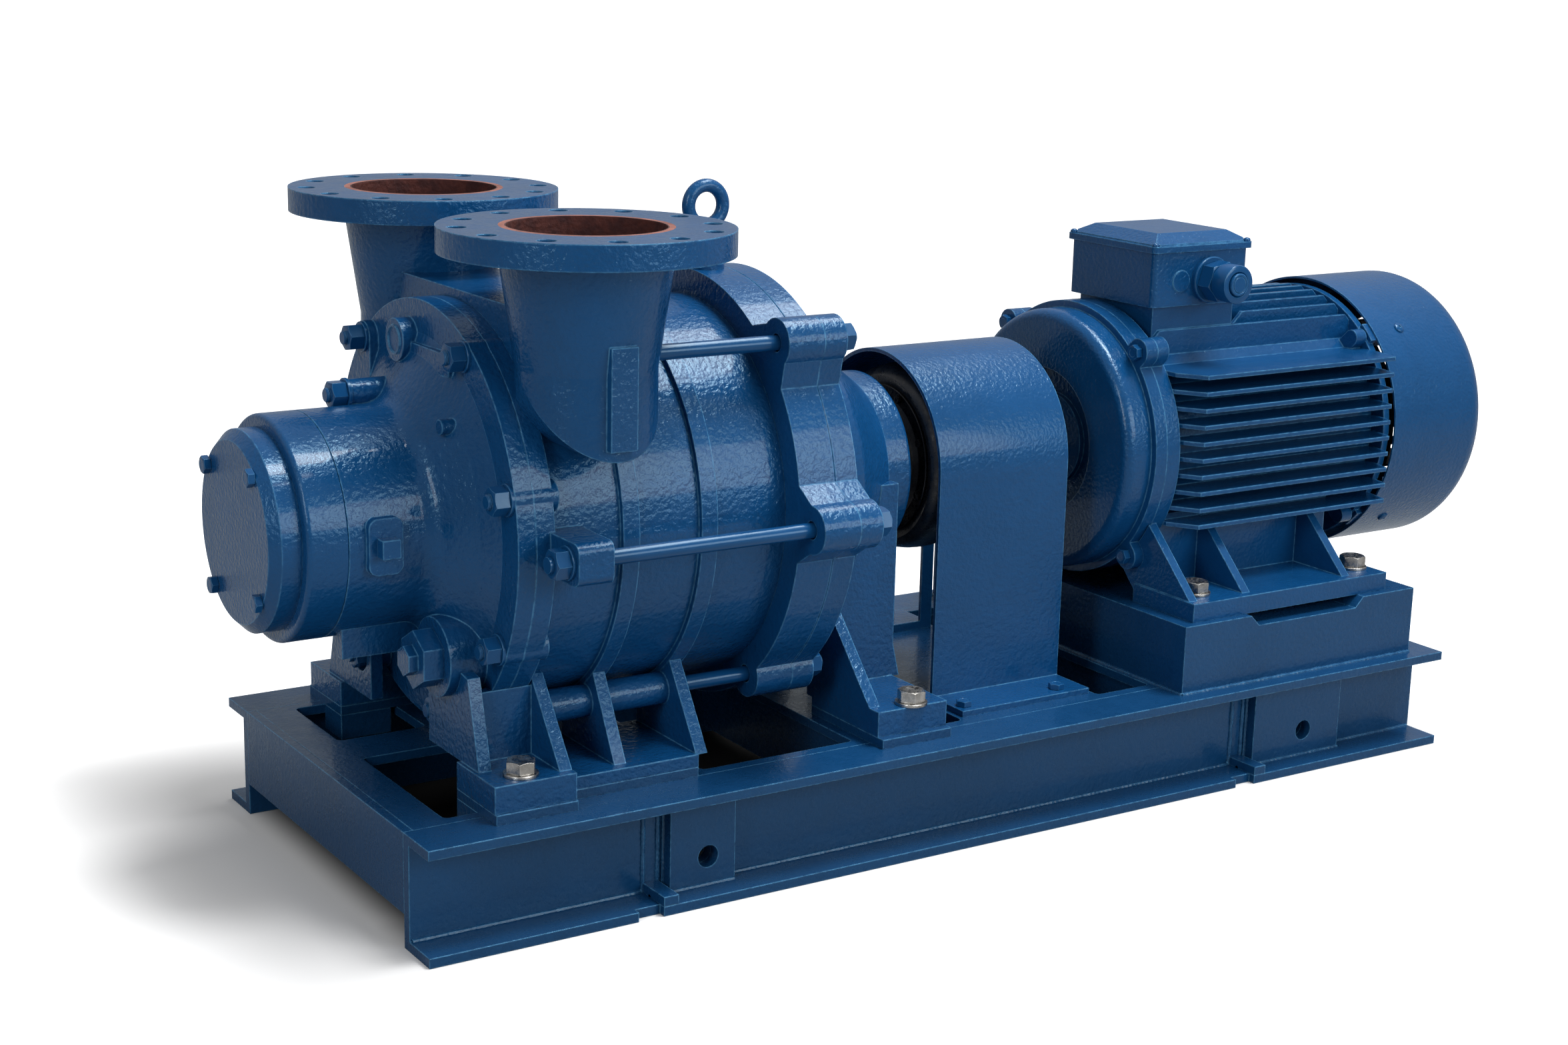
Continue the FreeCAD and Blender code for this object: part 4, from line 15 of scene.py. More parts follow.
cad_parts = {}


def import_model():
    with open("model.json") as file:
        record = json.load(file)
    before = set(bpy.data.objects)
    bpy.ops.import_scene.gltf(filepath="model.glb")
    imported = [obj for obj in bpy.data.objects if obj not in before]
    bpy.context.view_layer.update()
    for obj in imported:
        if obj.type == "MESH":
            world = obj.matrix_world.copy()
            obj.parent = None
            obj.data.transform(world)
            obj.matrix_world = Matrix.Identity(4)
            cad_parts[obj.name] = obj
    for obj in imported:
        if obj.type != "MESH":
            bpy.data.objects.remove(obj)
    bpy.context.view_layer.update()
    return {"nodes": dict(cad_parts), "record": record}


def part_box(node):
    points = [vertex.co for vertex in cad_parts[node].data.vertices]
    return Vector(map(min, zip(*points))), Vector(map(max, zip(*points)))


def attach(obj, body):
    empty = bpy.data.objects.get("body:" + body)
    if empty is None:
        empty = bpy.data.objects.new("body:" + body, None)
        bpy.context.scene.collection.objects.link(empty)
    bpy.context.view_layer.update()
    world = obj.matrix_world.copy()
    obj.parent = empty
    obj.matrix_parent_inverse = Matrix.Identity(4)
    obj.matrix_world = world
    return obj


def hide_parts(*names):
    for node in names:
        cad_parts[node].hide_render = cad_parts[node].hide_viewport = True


LOG = logging.getLogger("pump_set")
MM = 0.001
FULL_TURN = 2.0 * math.pi

Material = bpy.types.Material
Node = bpy.types.Node
Object = bpy.types.Object
Socket = bpy.types.NodeSocket
Tree = bpy.types.NodeTree
Vert = bmesh.types.BMVert
Edge = bmesh.types.BMEdge
Color = tuple[float, float, float]
Span = tuple[float, float]
Point = tuple[float, float, float]


class Body(Enum):
    """The bodies that the new pieces ride on."""

    FIXED = "frame_and_casings"
    PUMP_ROTOR = "pump_rotor"


class Graph:
    """A node tree with short calls for adding and joining nodes."""

    MIX_FIRST = 6
    MIX_SECOND = 7
    MIX_RESULT = 2

    def __init__(self, tree: Tree) -> None:
        """Empties the node tree of a material, a world or a group, and starts from it."""
        self.tree = tree
        tree.nodes.clear()

    def add(self, kind: str, inputs: dict | None = None, **settings: object) -> Node:
        """Adds a node.

        Args:
            kind: The node's type name without the leading ShaderNode.
            inputs: Sockets by name or index, each with a value or another node's output.
            settings: Attributes of the node.

        Returns:
            The new node.
        """
        name = kind if kind.startswith("Node") else "ShaderNode" + kind
        node = self.tree.nodes.new(name)
        for key, value in settings.items():
            setattr(node, key, value)
        for key, value in (inputs or {}).items():
            self.feed(node.inputs[key], value)
        return node

    def feed(self, socket: Socket, value: object) -> None:
        """Joins an output to a socket, or sets the socket's own value.

        Args:
            socket: The input socket.
            value: A plain value, or the output that feeds the socket.
        """
        if isinstance(value, Socket):
            self.tree.links.new(value, socket)
        else:
            socket.default_value = value

    def math(self, operation: str, *values: object, clamp: bool = False) -> Socket:
        """Adds a Math node with these values in socket order, and gives its output."""
        return self.add("Math", dict(enumerate(values)), operation=operation, use_clamp=clamp).outputs[0]

    def blend(self, factor: object, first: object, second: object) -> Socket:
        """Mixes two colours: the first one shows at factor 0 and the second at factor 1."""
        colors = {self.MIX_FIRST: rgba(first), self.MIX_SECOND: rgba(second)}
        return self.add("Mix", {0: factor, **colors}, data_type="RGBA").outputs[self.MIX_RESULT]

    def span(self, value: object, given: Span, wanted: Span = (0.0, 1.0)) -> Socket:
        """Maps a range of values smoothly onto another."""
        limits = dict(enumerate((value, *given, *wanted)))
        return self.add("MapRange", limits, interpolation_type="SMOOTHSTEP").outputs[0]

    def product(self, first: object, second: object) -> Socket:
        """Multiplies two numbers or outputs."""
        return self.math("MULTIPLY", first, second)

    def length(self, first: object, second: object) -> Socket:
        """Length of a flat vector with these two parts."""
        squares = self.math("ADD", self.product(first, first), self.product(second, second))
        return self.math("SQRT", squares)

    def noise(self, scale: object, detail: float, roughness: float = 0.5) -> Socket:
        """Adds noise over the object's own coordinates, with detail octaves that fade by the roughness."""
        inputs = {"Vector": self.add("TexCoord").outputs["Object"], "Scale": scale, "Detail": detail}
        return self.add("TexNoise", {**inputs, "Roughness": roughness}).outputs[0]

    def place_on_object(self) -> Node:
        """The object's own coordinates, parted into X, Y and Z."""
        return self.add("SeparateXYZ", {0: self.add("TexCoord").outputs["Object"]})

    def direct_view(self, mirrored: float) -> Socket:
        """A mask of the rays that see a surface rather than take light from it.

        Args:
            mirrored: How far a mirrored view counts as direct.

        Returns:
            The mask.
        """
        rays = self.add("LightPath").outputs
        glossy = self.product(rays["Is Glossy Ray"], mirrored)
        through = self.math("MAXIMUM", rays["Is Transmission Ray"], glossy)
        return self.math("MAXIMUM", rays["Is Camera Ray"], through)

    def place(self, group: Tree, inputs: dict[str, object]) -> Node:
        """Places a shared group with its inputs by name."""
        return self.add("Group", inputs, node_tree=group)


def rgba(value: object) -> object:
    """Gives a three-part colour its fourth part and leaves anything else as it is."""
    return (*value, 1.0) if isinstance(value, tuple) and len(value) == 3 else value


class SharedEffects:
    """Node groups that several finishes use."""

    EDGE_TURN = (0.015, 0.14)
    # Noise that breaks up the edge mask: the painted edge highlight on enamel and the rubbed wear on bare
    # metal.
    EDGE_HIGHLIGHT_AND_WEAR_SCALE = 90.0
    EDGE_HIGHLIGHT_AND_WEAR_FROM = (0.32, 0.58)
    EDGE_HIGHLIGHT_AND_WEAR_TO = (0.32, 1.0)
    SAND_TO_GRAIN = 4.0
    WAVE_SCALE = 14.0
    FINE_TO_BROAD = 9.0
    BROAD_RANGE = (0.32, 0.68)
    FINE_RANGE = (0.35, 0.65)
    RAGGED_SCALE = 55.0
    RAGGED_BY = 1.6 * MM
    PRIMED_DEPTH = 60.0 * MM

    def __init__(self) -> None:
        """Builds every group once."""
        self.rounded_edge = self.make_rounded_edge()
        self.cast_skin = self.make_cast_skin()
        self.mottle = self.make_mottle()
        self.round_zone = self.make_round_zone()

    @staticmethod
    def new_group(name: str, inputs: list[str], outputs: list[str]) -> tuple[Graph, dict, dict]:
        """Starts a node group whose sockets are numbers, apart from a normal.

        Args:
            name: The group's name.
            inputs: Names of its inputs.
            outputs: Names of its outputs.

        Returns:
            The graph, the group's inputs as outputs to read, and its outputs as inputs to feed.
        """
        tree = bpy.data.node_groups.new(name, "ShaderNodeTree")
        for labels, way in ((inputs, "INPUT"), (outputs, "OUTPUT")):
            for label in labels:
                kind = "Vector" if label == "Normal" else "Float"
                tree.interface.new_socket(label, in_out=way, socket_type="NodeSocket" + kind)
        graph = Graph(tree)
        entry = graph.add("NodeGroupInput").outputs
        exit_node = graph.add("NodeGroupOutput").inputs
        return graph, {key: entry[key] for key in inputs}, {key: exit_node[key] for key in outputs}

    def make_rounded_edge(self) -> Tree:
        """Edges that catch the light as if rounded, with an edge mask, broken by noise, that the enamel uses
        for a painted highlight and for paint worn thin, and bare metal for rubbed wear.

        Returns:
            Group with the inputs Radius and Cover, and the outputs Normal and Mask.
        """
        graph, given, wanted = self.new_group("Rounded edge", ["Radius", "Cover"], ["Normal", "Mask"])
        bevel = graph.add("Bevel", {"Radius": given["Radius"]}, samples=4)
        surface = graph.add("NewGeometry")
        normals = {0: bevel.outputs[0], 1: surface.outputs["Normal"]}
        dot = graph.add("VectorMath", normals, operation="DOT_PRODUCT")
        lost = graph.math("SUBTRACT", 1.0, dot.outputs["Value"])
        edge = graph.span(lost, self.EDGE_TURN)
        broken = graph.span(graph.noise(self.EDGE_HIGHLIGHT_AND_WEAR_SCALE, 3.0), self.EDGE_HIGHLIGHT_AND_WEAR_FROM, self.EDGE_HIGHLIGHT_AND_WEAR_TO)
        mask = graph.math("MULTIPLY", graph.product(edge, broken), given["Cover"], clamp=True)
        graph.feed(wanted["Normal"], bevel.outputs[0])
        graph.feed(wanted["Mask"], mask)
        return graph.tree

    def make_cast_skin(self) -> Tree:
        """The uneven skin of a casting or of thick paint.

        Returns:
            Group with the inputs Grain, Sand and Waves, and the output Height.
        """
        graph, given, wanted = self.new_group("Cast skin", ["Grain", "Sand", "Waves"], ["Height"])
        peel = graph.noise(given["Grain"], 2.0, 0.45)
        sand = graph.noise(graph.product(given["Grain"], self.SAND_TO_GRAIN), 3.0, 0.6)
        waves = graph.noise(self.WAVE_SCALE, 2.0)
        fine = graph.product(sand, given["Sand"])
        broad = graph.product(waves, given["Waves"])
        graph.feed(wanted["Height"], graph.math("ADD", graph.math("ADD", peel, fine), broad))
        return graph.tree

    def make_mottle(self) -> Tree:
        """Cloudy change of tone over a surface.

        Returns:
            Group with the input Scale and the outputs Broad and Fine.
        """
        graph, given, wanted = self.new_group("Mottle", ["Scale"], ["Broad", "Fine"])
        broad = graph.noise(given["Scale"], 4.0, 0.6)
        fine = graph.noise(graph.product(given["Scale"], self.FINE_TO_BROAD), 4.0, 0.65)
        graph.feed(wanted["Broad"], graph.span(broad, self.BROAD_RANGE))
        graph.feed(wanted["Fine"], graph.span(fine, self.FINE_RANGE))
        return graph.tree

    def make_round_zone(self) -> Tree:
        """A mask over an upright bore and over a ring round its mouth.

        Returns:
            Group with the inputs Centre X, Centre Y, Bore, Face Radius and Face Level, and the outputs
            Inside and Ring.
        """
        inputs = ["Centre X", "Centre Y", "Bore", "Face Radius", "Face Level"]
        graph, given, wanted = self.new_group("Round zone", inputs, ["Inside", "Ring"])
        where = graph.place_on_object()
        off_x = graph.math("SUBTRACT", where.outputs["X"], given["Centre X"])
        off_y = graph.math("SUBTRACT", where.outputs["Y"], given["Centre Y"])
        distance = graph.length(off_x, off_y)
        wobble = graph.product(graph.noise(self.RAGGED_SCALE, 3.0), self.RAGGED_BY)
        ragged = graph.math("ADD", distance, wobble)
        near_top = graph.math("SUBTRACT", given["Face Level"], self.PRIMED_DEPTH)
        high = graph.math("GREATER_THAN", where.outputs["Z"], near_top)
        inside = graph.product(graph.math("LESS_THAN", distance, given["Bore"]), high)
        on_face = graph.math("GREATER_THAN", where.outputs["Z"], given["Face Level"])
        ring = graph.product(graph.math("LESS_THAN", ragged, given["Face Radius"]), on_face)
        graph.feed(wanted["Inside"], inside)
        graph.feed(wanted["Ring"], ring)
        return graph.tree


@dataclass(frozen=True)
class Layers:
    """What every finish starts from: its graph and the shared groups placed in it."""

    material: Material
    graph: Graph
    edge: Node
    skin: Node
    tone: Node
    relief: float

    @staticmethod
    def start(effects: SharedEffects, finish: EnamelFinish | MetalFinish) -> Layers:
        """Makes a finish's material and places the groups.

        Args:
            effects: The shared groups.
            finish: The finish, which has the groups' values.

        Returns:
            The material with its groups.
        """
        material = bpy.data.materials.new(finish.name)
        material.use_nodes = True
        graph = Graph(material.node_tree)
        skin = {"Grain": finish.grain, "Sand": finish.sand, "Waves": finish.waves}
        return Layers(
            material, graph,
            graph.place(effects.rounded_edge, {"Radius": finish.edge_radius, "Cover": finish.edge_cover}),
            graph.place(effects.cast_skin, skin),
            graph.place(effects.mottle, {"Scale": finish.mottle_scale}),
            finish.relief * MM,
        )

    def gloss(self, limits: Span) -> Socket:
        """Roughness that wanders between two limits with the fine mottle."""
        return self.graph.span(self.tone.outputs["Fine"], (0.0, 1.0), limits)

    def close(self, inputs: dict[str, object]) -> Material:
        """Adds the bump, the shader and the output.

        Args:
            inputs: The shader's inputs apart from its normal.

        Returns:
            The finished material.
        """
        depth = {"Height": self.skin.outputs["Height"], "Strength": 1.0, "Distance": self.relief}
        bump = self.graph.add("Bump", {**depth, "Normal": self.edge.outputs["Normal"]})
        shader = self.graph.add("BsdfPrincipled", {**inputs, "Normal": bump.outputs[0]})
        self.graph.add("OutputMaterial", {"Surface": shader.outputs[0]})
        return self.material


@dataclass(frozen=True)
class EnamelFinish:
    """Deep blue semi-gloss enamel over a casting or over sheet."""

    name: str
    paint: Color = (0.0045, 0.060, 0.176)
    # Painted highlight: a light blue laid along the edges for light caught by rounded edges, and for paint
    # worn thin there.
    painted_edge_highlight_and_wear: Color = (0.115, 0.350, 0.590)
    grain: float = 158.0
    relief: float = 1.6
    sand: float = 0.07
    waves: float = 0.35
    gloss: Span = (0.19, 0.27)
    edge_radius: float = 3.0 * MM
    edge_cover: float = 0.9
    gleam: Color = (0.48, 0.81, 1.0)
    bore: Point | None = None
    bore_radius: float = 92.5 * MM
    ring_radius: float = 100.5 * MM
    rust: tuple[Color, Color] = ((0.046, 0.010, 0.006), (0.088, 0.020, 0.011))
    primer: tuple[Color, Color] = ((0.20, 0.060, 0.040), (0.36, 0.125, 0.085))
    primer_roughness: float = 0.78
    mottle_scale: float = 5.0
    darker_by: float = 0.84
    lighter_by: float = 1.25
    lighter_share: float = 0.12
    coat: float = 0.2
    coat_roughness: float = 0.09
    specular: float = 0.34

    def make(self, effects: SharedEffects) -> Material:
        """Makes the paint.

        Args:
            effects: The shared groups.

        Returns:
            The material.
        """
        layers = Layers.start(effects, self)
        graph = layers.graph
        darker = tuple(part * self.darker_by for part in self.paint)
        lighter = tuple(part * self.lighter_by for part in self.paint)
        color = graph.blend(layers.tone.outputs["Broad"], darker, self.paint)
        color = graph.blend(graph.product(layers.tone.outputs["Fine"], self.lighter_share), color, lighter)
        # Painted highlight along the edges, partly also paint worn thin there: the edge mask lightens the
        # paint.
        color = graph.blend(layers.edge.outputs["Mask"], color, self.painted_edge_highlight_and_wear)
        roughness = layers.gloss(self.gloss)
        if self.bore is not None:
            color, roughness = self.primed(layers, effects, color, roughness)
        gleam = rgba(self.gleam)
        coat = {"Coat Weight": self.coat, "Coat Roughness": self.coat_roughness, "Coat Tint": gleam}
        sheen = {"Specular IOR Level": self.specular, "Specular Tint": gleam}
        return layers.close({"Base Color": color, "Roughness": roughness, **coat, **sheen})

    def primed(self, layers: Layers, effects: SharedEffects, color: Socket, roughness: Socket) -> tuple:
        """Lays rusty primer into a pipe bore and a ring of it round the mouth.

        Args:
            layers: The finish under way.
            effects: The shared groups.
            color: The paint's colour.
            roughness: The paint's roughness.

        Returns:
            The colour and the roughness with the primer in them.
        """
        graph, fine = layers.graph, layers.tone.outputs["Fine"]
        x, y, top = self.bore
        zone = {"Centre X": x, "Centre Y": y, "Bore": self.bore_radius, "Face Radius": self.ring_radius}
        inner = graph.place(effects.round_zone, {**zone, "Face Level": top - 0.5 * MM})
        color = graph.blend(inner.outputs["Ring"], color, graph.blend(fine, *self.primer))
        color = graph.blend(inner.outputs["Inside"], color, graph.blend(fine, *self.rust))
        either = graph.math("MAXIMUM", inner.outputs["Ring"], inner.outputs["Inside"])
        matt = graph.product(either, self.primer_roughness)
        return color, graph.math("MAXIMUM", roughness, matt)


@dataclass(frozen=True)
class MetalFinish:
    """Bare metal with stains, rubbed edges and a broken sheen."""

    name: str
    under: Color
    over: Color
    gloss: Span
    metallic: float = 1.0
    grain: float = 500.0
    relief: float = 0.05
    sand: float = 0.8
    waves: float = 0.0
    edge_radius: float = 1.0 * MM
    edge_cover: float = 1.0
    mottle_scale: float = 28.0
    rubbed_by: float = 1.5
    rubbed_share: float = 0.6

    def make(self, effects: SharedEffects) -> Material:
        """Makes the finish.

        Args:
            effects: The shared groups.

        Returns:
            The material.
        """
        layers = Layers.start(effects, self)
        graph = layers.graph
        rubbed = tuple(min(1.0, part * self.rubbed_by) for part in self.over)
        color = graph.blend(layers.tone.outputs["Broad"], self.under, self.over)
        color = graph.blend(graph.product(layers.edge.outputs["Mask"], self.rubbed_share), color, rubbed)
        look = {"Base Color": color, "Metallic": self.metallic, "Roughness": layers.gloss(self.gloss)}
        return layers.close(look)


@dataclass(frozen=True)
class SoftFinish(MetalFinish):
    """Rubber, plastic or packing, with a fine bloom over its own colour."""

    metallic: float = 0.0
    grain: float = 700.0
    relief: float = 0.08
    sand: float = 0.5
    waves: float = 0.5
    edge_radius: float = 1.5 * MM
    edge_cover: float = 0.5
    mottle_scale: float = 12.0
    rubbed_by: float = 1.0
    rubbed_share: float = 0.5


@dataclass(frozen=True)
class SoftBox:
    """A rectangular soft lamp: its place, its two sides in metres and its watts."""

    name: str
    place: Point
    width: float
    depth: float
    power: float

    def hang(self, aim: Vector) -> None:
        """Hangs the lamp.

        Args:
            aim: What it points at.
        """
        data = bpy.data.lights.new(self.name, "AREA")
        data.shape = "RECTANGLE"
        data.size = self.width
        data.size_y = self.depth
        data.energy = self.power
        lamp = bpy.data.objects.new(self.name, data)
        lamp.location = self.place
        lamp.rotation_euler = (aim - Vector(self.place)).to_track_quat("-Z", "Y").to_euler()
        bpy.context.scene.collection.objects.link(lamp)


@dataclass(frozen=True)
class Studio:
    """Floor, lamps, surroundings and camera."""

    eye: Vector = Vector((-1876.9, -2616.6, 1137.7)) * MM
    yaw: float = -33.0
    pitch: float = 13.8
    roll: float = 1.4
    focal_pixels: float = 3621.6
    image_width: float = 2352.0
    sensor: float = 36.0
    floor_reach: float = 60.0
    floor_level: float = -0.5 * MM
    floor_lift: float = 0.5
    mirrored_floor: float = 0.12
    mirrored_room: float = 0.3
    # Where the white lift is left off: the floor there is painted grey round the set's own shadow.
    shadow_x: Span = (-0.95, 0.80)
    shadow_y: Span = (-0.26, 0.45)
    shadow_fade: float = 0.26
    # Painted shadow: a rectangle under the base where the floor colour that the camera sees turns dark.
    painted_shadow_x: Span = (-0.78, 0.74)
    painted_shadow_y: Span = (-0.22, 0.24)
    painted_shadow_fade: float = 0.07
    lighting_floor: Color = (0.30, 0.30, 0.30)
    painted_shadow_floor: Color = (0.05, 0.05, 0.05)
    open_floor: Color = (0.84, 0.84, 0.84)
    sun_strength: float = 1.8
    sun_width: float = math.radians(16.0)
    sun_from: Point = (0.40, -0.20, 1.40)
    lamps_aim: Point = (0.0, 0.0, 0.45)
    lamps: tuple[SoftBox, ...] = (
        SoftBox("Overhead", (0.8, -0.3, 2.9), 2.6, 0.6, 54.0),
        SoftBox("Left softbox", (-3.4, -1.6, 1.9), 0.9, 1.8, 38.0),
        SoftBox("Front softbox", (1.2, -3.6, 1.7), 2.8, 1.6, 70.0),
    )
    room_heights: Span = (-0.1, 0.9)
    room_strength: Span = (0.03, 0.36)

    def make(self) -> None:
        """Makes the whole stage."""
        self.make_camera()
        self.make_floor()
        self.make_lamps()
        self.make_surroundings()

    def make_camera(self) -> None:
        """Sets the camera at the photograph's place, angle and lens."""
        yaw, pitch, roll = (math.radians(angle) for angle in (self.yaw, self.pitch, self.roll))
        level = math.cos(pitch)
        ahead = Vector((-math.sin(yaw) * level, math.cos(yaw) * level, -math.sin(pitch)))
        level_right = ahead.cross(Vector((0, 0, 1))).normalized()
        level_up = level_right.cross(ahead)
        right = level_right * math.cos(roll) + level_up * math.sin(roll)
        up = level_up * math.cos(roll) - level_right * math.sin(roll)
        data = bpy.data.cameras.new("Camera")
        data.sensor_fit = "HORIZONTAL"
        data.sensor_width = self.sensor
        data.lens = self.focal_pixels / self.image_width * self.sensor
        data.clip_end = 4.0 * self.floor_reach
        camera = bpy.data.objects.new("Camera", data)
        camera.matrix_world = Matrix((right, up, -ahead)).transposed().to_4x4()
        camera.location = self.eye
        bpy.context.scene.collection.objects.link(camera)
        bpy.context.scene.camera = camera

    def make_floor(self) -> None:
        """Lays a wide floor that the camera sees near white, with the set's soft shadow on it and a painted
        shadow, a dark patch of floor colour, under the base.
        """
        mesh = bpy.data.meshes.new("Floor")
        shape = bmesh.new()
        bmesh.ops.create_grid(shape, x_segments=1, y_segments=1, size=self.floor_reach)
        bmesh.ops.translate(shape, verts=shape.verts, vec=(0, 0, self.floor_level))
        shape.to_mesh(mesh)
        shape.free()
        floor = bpy.data.objects.new("Floor", mesh)
        bpy.context.scene.collection.objects.link(floor)
        material = bpy.data.materials.new("Floor")
        material.use_nodes = True
        graph = Graph(material.node_tree)
        matt = graph.add("BsdfDiffuse", {"Color": rgba(self.lighting_floor)})
        # Painted shadow: the floor that the camera sees is dark under the base and light away from it.
        away = self.away_from(graph, self.painted_shadow_x, self.painted_shadow_y, self.painted_shadow_fade)
        seen_matt = graph.add("BsdfDiffuse", {"Color": graph.blend(away, self.painted_shadow_floor, self.open_floor)})
        # The white lift is left off where the set's shadow falls, so the floor there is painted grey as well
        # as truly shaded.
        away = self.away_from(graph, self.shadow_x, self.shadow_y, self.shadow_fade)
        strength = graph.product(away, self.floor_lift)
        lift = graph.add("Emission", {"Color": (1, 1, 1, 1), "Strength": strength})
        both = graph.add("AddShader", {0: seen_matt.outputs[0], 1: lift.outputs[0]})
        direct = graph.direct_view(self.mirrored_floor)
        mixed = graph.add("MixShader", {0: direct, 1: matt.outputs[0], 2: both.outputs[0]})
        graph.add("OutputMaterial", {"Surface": mixed.outputs[0]})
        mesh.materials.append(material)

    @staticmethod
    def away_from(graph: Graph, span_x: Span, span_y: Span, fade: float) -> Socket:
        """A mask that is 0 over a rectangle of the floor and rises to 1 away from it.

        Args:
            graph: The floor's node graph.
            span_x: The rectangle's ends along X.
            span_y: Its ends along Y.
            fade: How far the mask takes to reach 1.

        Returns:
            The mask.
        """
        where = graph.place_on_object()
        off = []
        for axis, low, high in (("X", *span_x), ("Y", *span_y)):
            middle = graph.math("SUBTRACT", where.outputs[axis], (low + high) / 2)
            beyond = graph.math("SUBTRACT", graph.math("ABSOLUTE", middle), (high - low) / 2)
            off.append(graph.math("MAXIMUM", beyond, 0.0))
        return graph.span(graph.length(*off), (0.0, fade))

    def make_lamps(self) -> None:
        """Hangs a broad sun and the softboxes overhead, at the left and in front."""
        data = bpy.data.lights.new("Sun", "SUN")
        data.energy = self.sun_strength
        data.angle = self.sun_width
        sun = bpy.data.objects.new("Sun", data)
        sun.rotation_euler = (-Vector(self.sun_from)).to_track_quat("-Z", "Y").to_euler()
        bpy.context.scene.collection.objects.link(sun)
        for lamp in self.lamps:
            lamp.hang(Vector(self.lamps_aim))

    def make_surroundings(self) -> None:
        """Surrounds the set with a white room that is brighter overhead."""
        world = bpy.data.worlds.new("Surroundings")
        bpy.context.scene.world = world
        world.use_nodes = True
        graph = Graph(world.node_tree)
        direction = graph.add("SeparateXYZ", {0: graph.add("TexCoord").outputs["Generated"]})
        height = graph.span(direction.outputs["Z"], self.room_heights, self.room_strength)
        direct = graph.direct_view(self.mirrored_room)
        room = graph.add("Background", {"Color": (1, 1, 1, 1), "Strength": height})
        white = graph.add("Background", {"Color": (1, 1, 1, 1), "Strength": 1.0})
        mixed = graph.add("MixShader", {0: direct, 1: room.outputs[0], 2: white.outputs[0]})
        graph.add("OutputWorld", {"Surface": mixed.outputs[0]})


@dataclass(frozen=True)
class Island:
    """One separate solid of a carried-over node, by its lowest and highest corners."""

    low: Vector
    high: Vector

    MERGED_WITHIN = 0.02 * MM

    @property
    def middle(self) -> Vector:
        """The middle of its box."""
        return (self.low + self.high) / 2

    @staticmethod
    def all_of(node: Object) -> list[Island]:
        """Finds every separate solid of a node.

        Args:
            node: The carried-over node.

        Returns:
            Its solids, in the order of their places.
        """
        shape = bmesh.new()
        shape.from_mesh(node.data)
        bmesh.ops.remove_doubles(shape, verts=shape.verts, dist=Island.MERGED_WITHIN)
        waiting = set(shape.verts)
        found = []
        for start in shape.verts:
            if start not in waiting:
                continue
            waiting.remove(start)
            members = [start]
            for vert in members:
                for edge in vert.link_edges:
                    other = edge.other_vert(vert)
                    if other in waiting:
                        waiting.remove(other)
                        members.append(other)
            corners = [[pick(vert.co[axis] for vert in members) for axis in range(3)] for pick in (min, max)]
            found.append(Island(*map(Vector, corners)))
        shape.free()
        return sorted(found, key=lambda island: tuple(round(part, 4) for part in island.low))


@dataclass(frozen=True)
class Ring:
    """One step of a round or six-sided form, at a height over its seat."""

    radius: float
    height: float
    six_sided: bool = False
    chamfer_radius: float = math.inf

    CHAMFER_ANGLE = math.radians(30.0)

    def place(self, vert: Vert) -> None:
        """Moves a vertex onto the ring along its own direction from the axis.

        Args:
            vert: The vertex.
        """
        angle = math.atan2(vert.co.y, vert.co.x)
        reach = self.radius
        if self.six_sided:
            sixth = math.pi / 3
            reach = self.radius / math.cos((angle % sixth) - sixth / 2)
        drop = max(0.0, reach - self.chamfer_radius) * math.tan(self.CHAMFER_ANGLE)
        vert.co = Vector((reach * math.cos(angle), reach * math.sin(angle), self.height - drop))


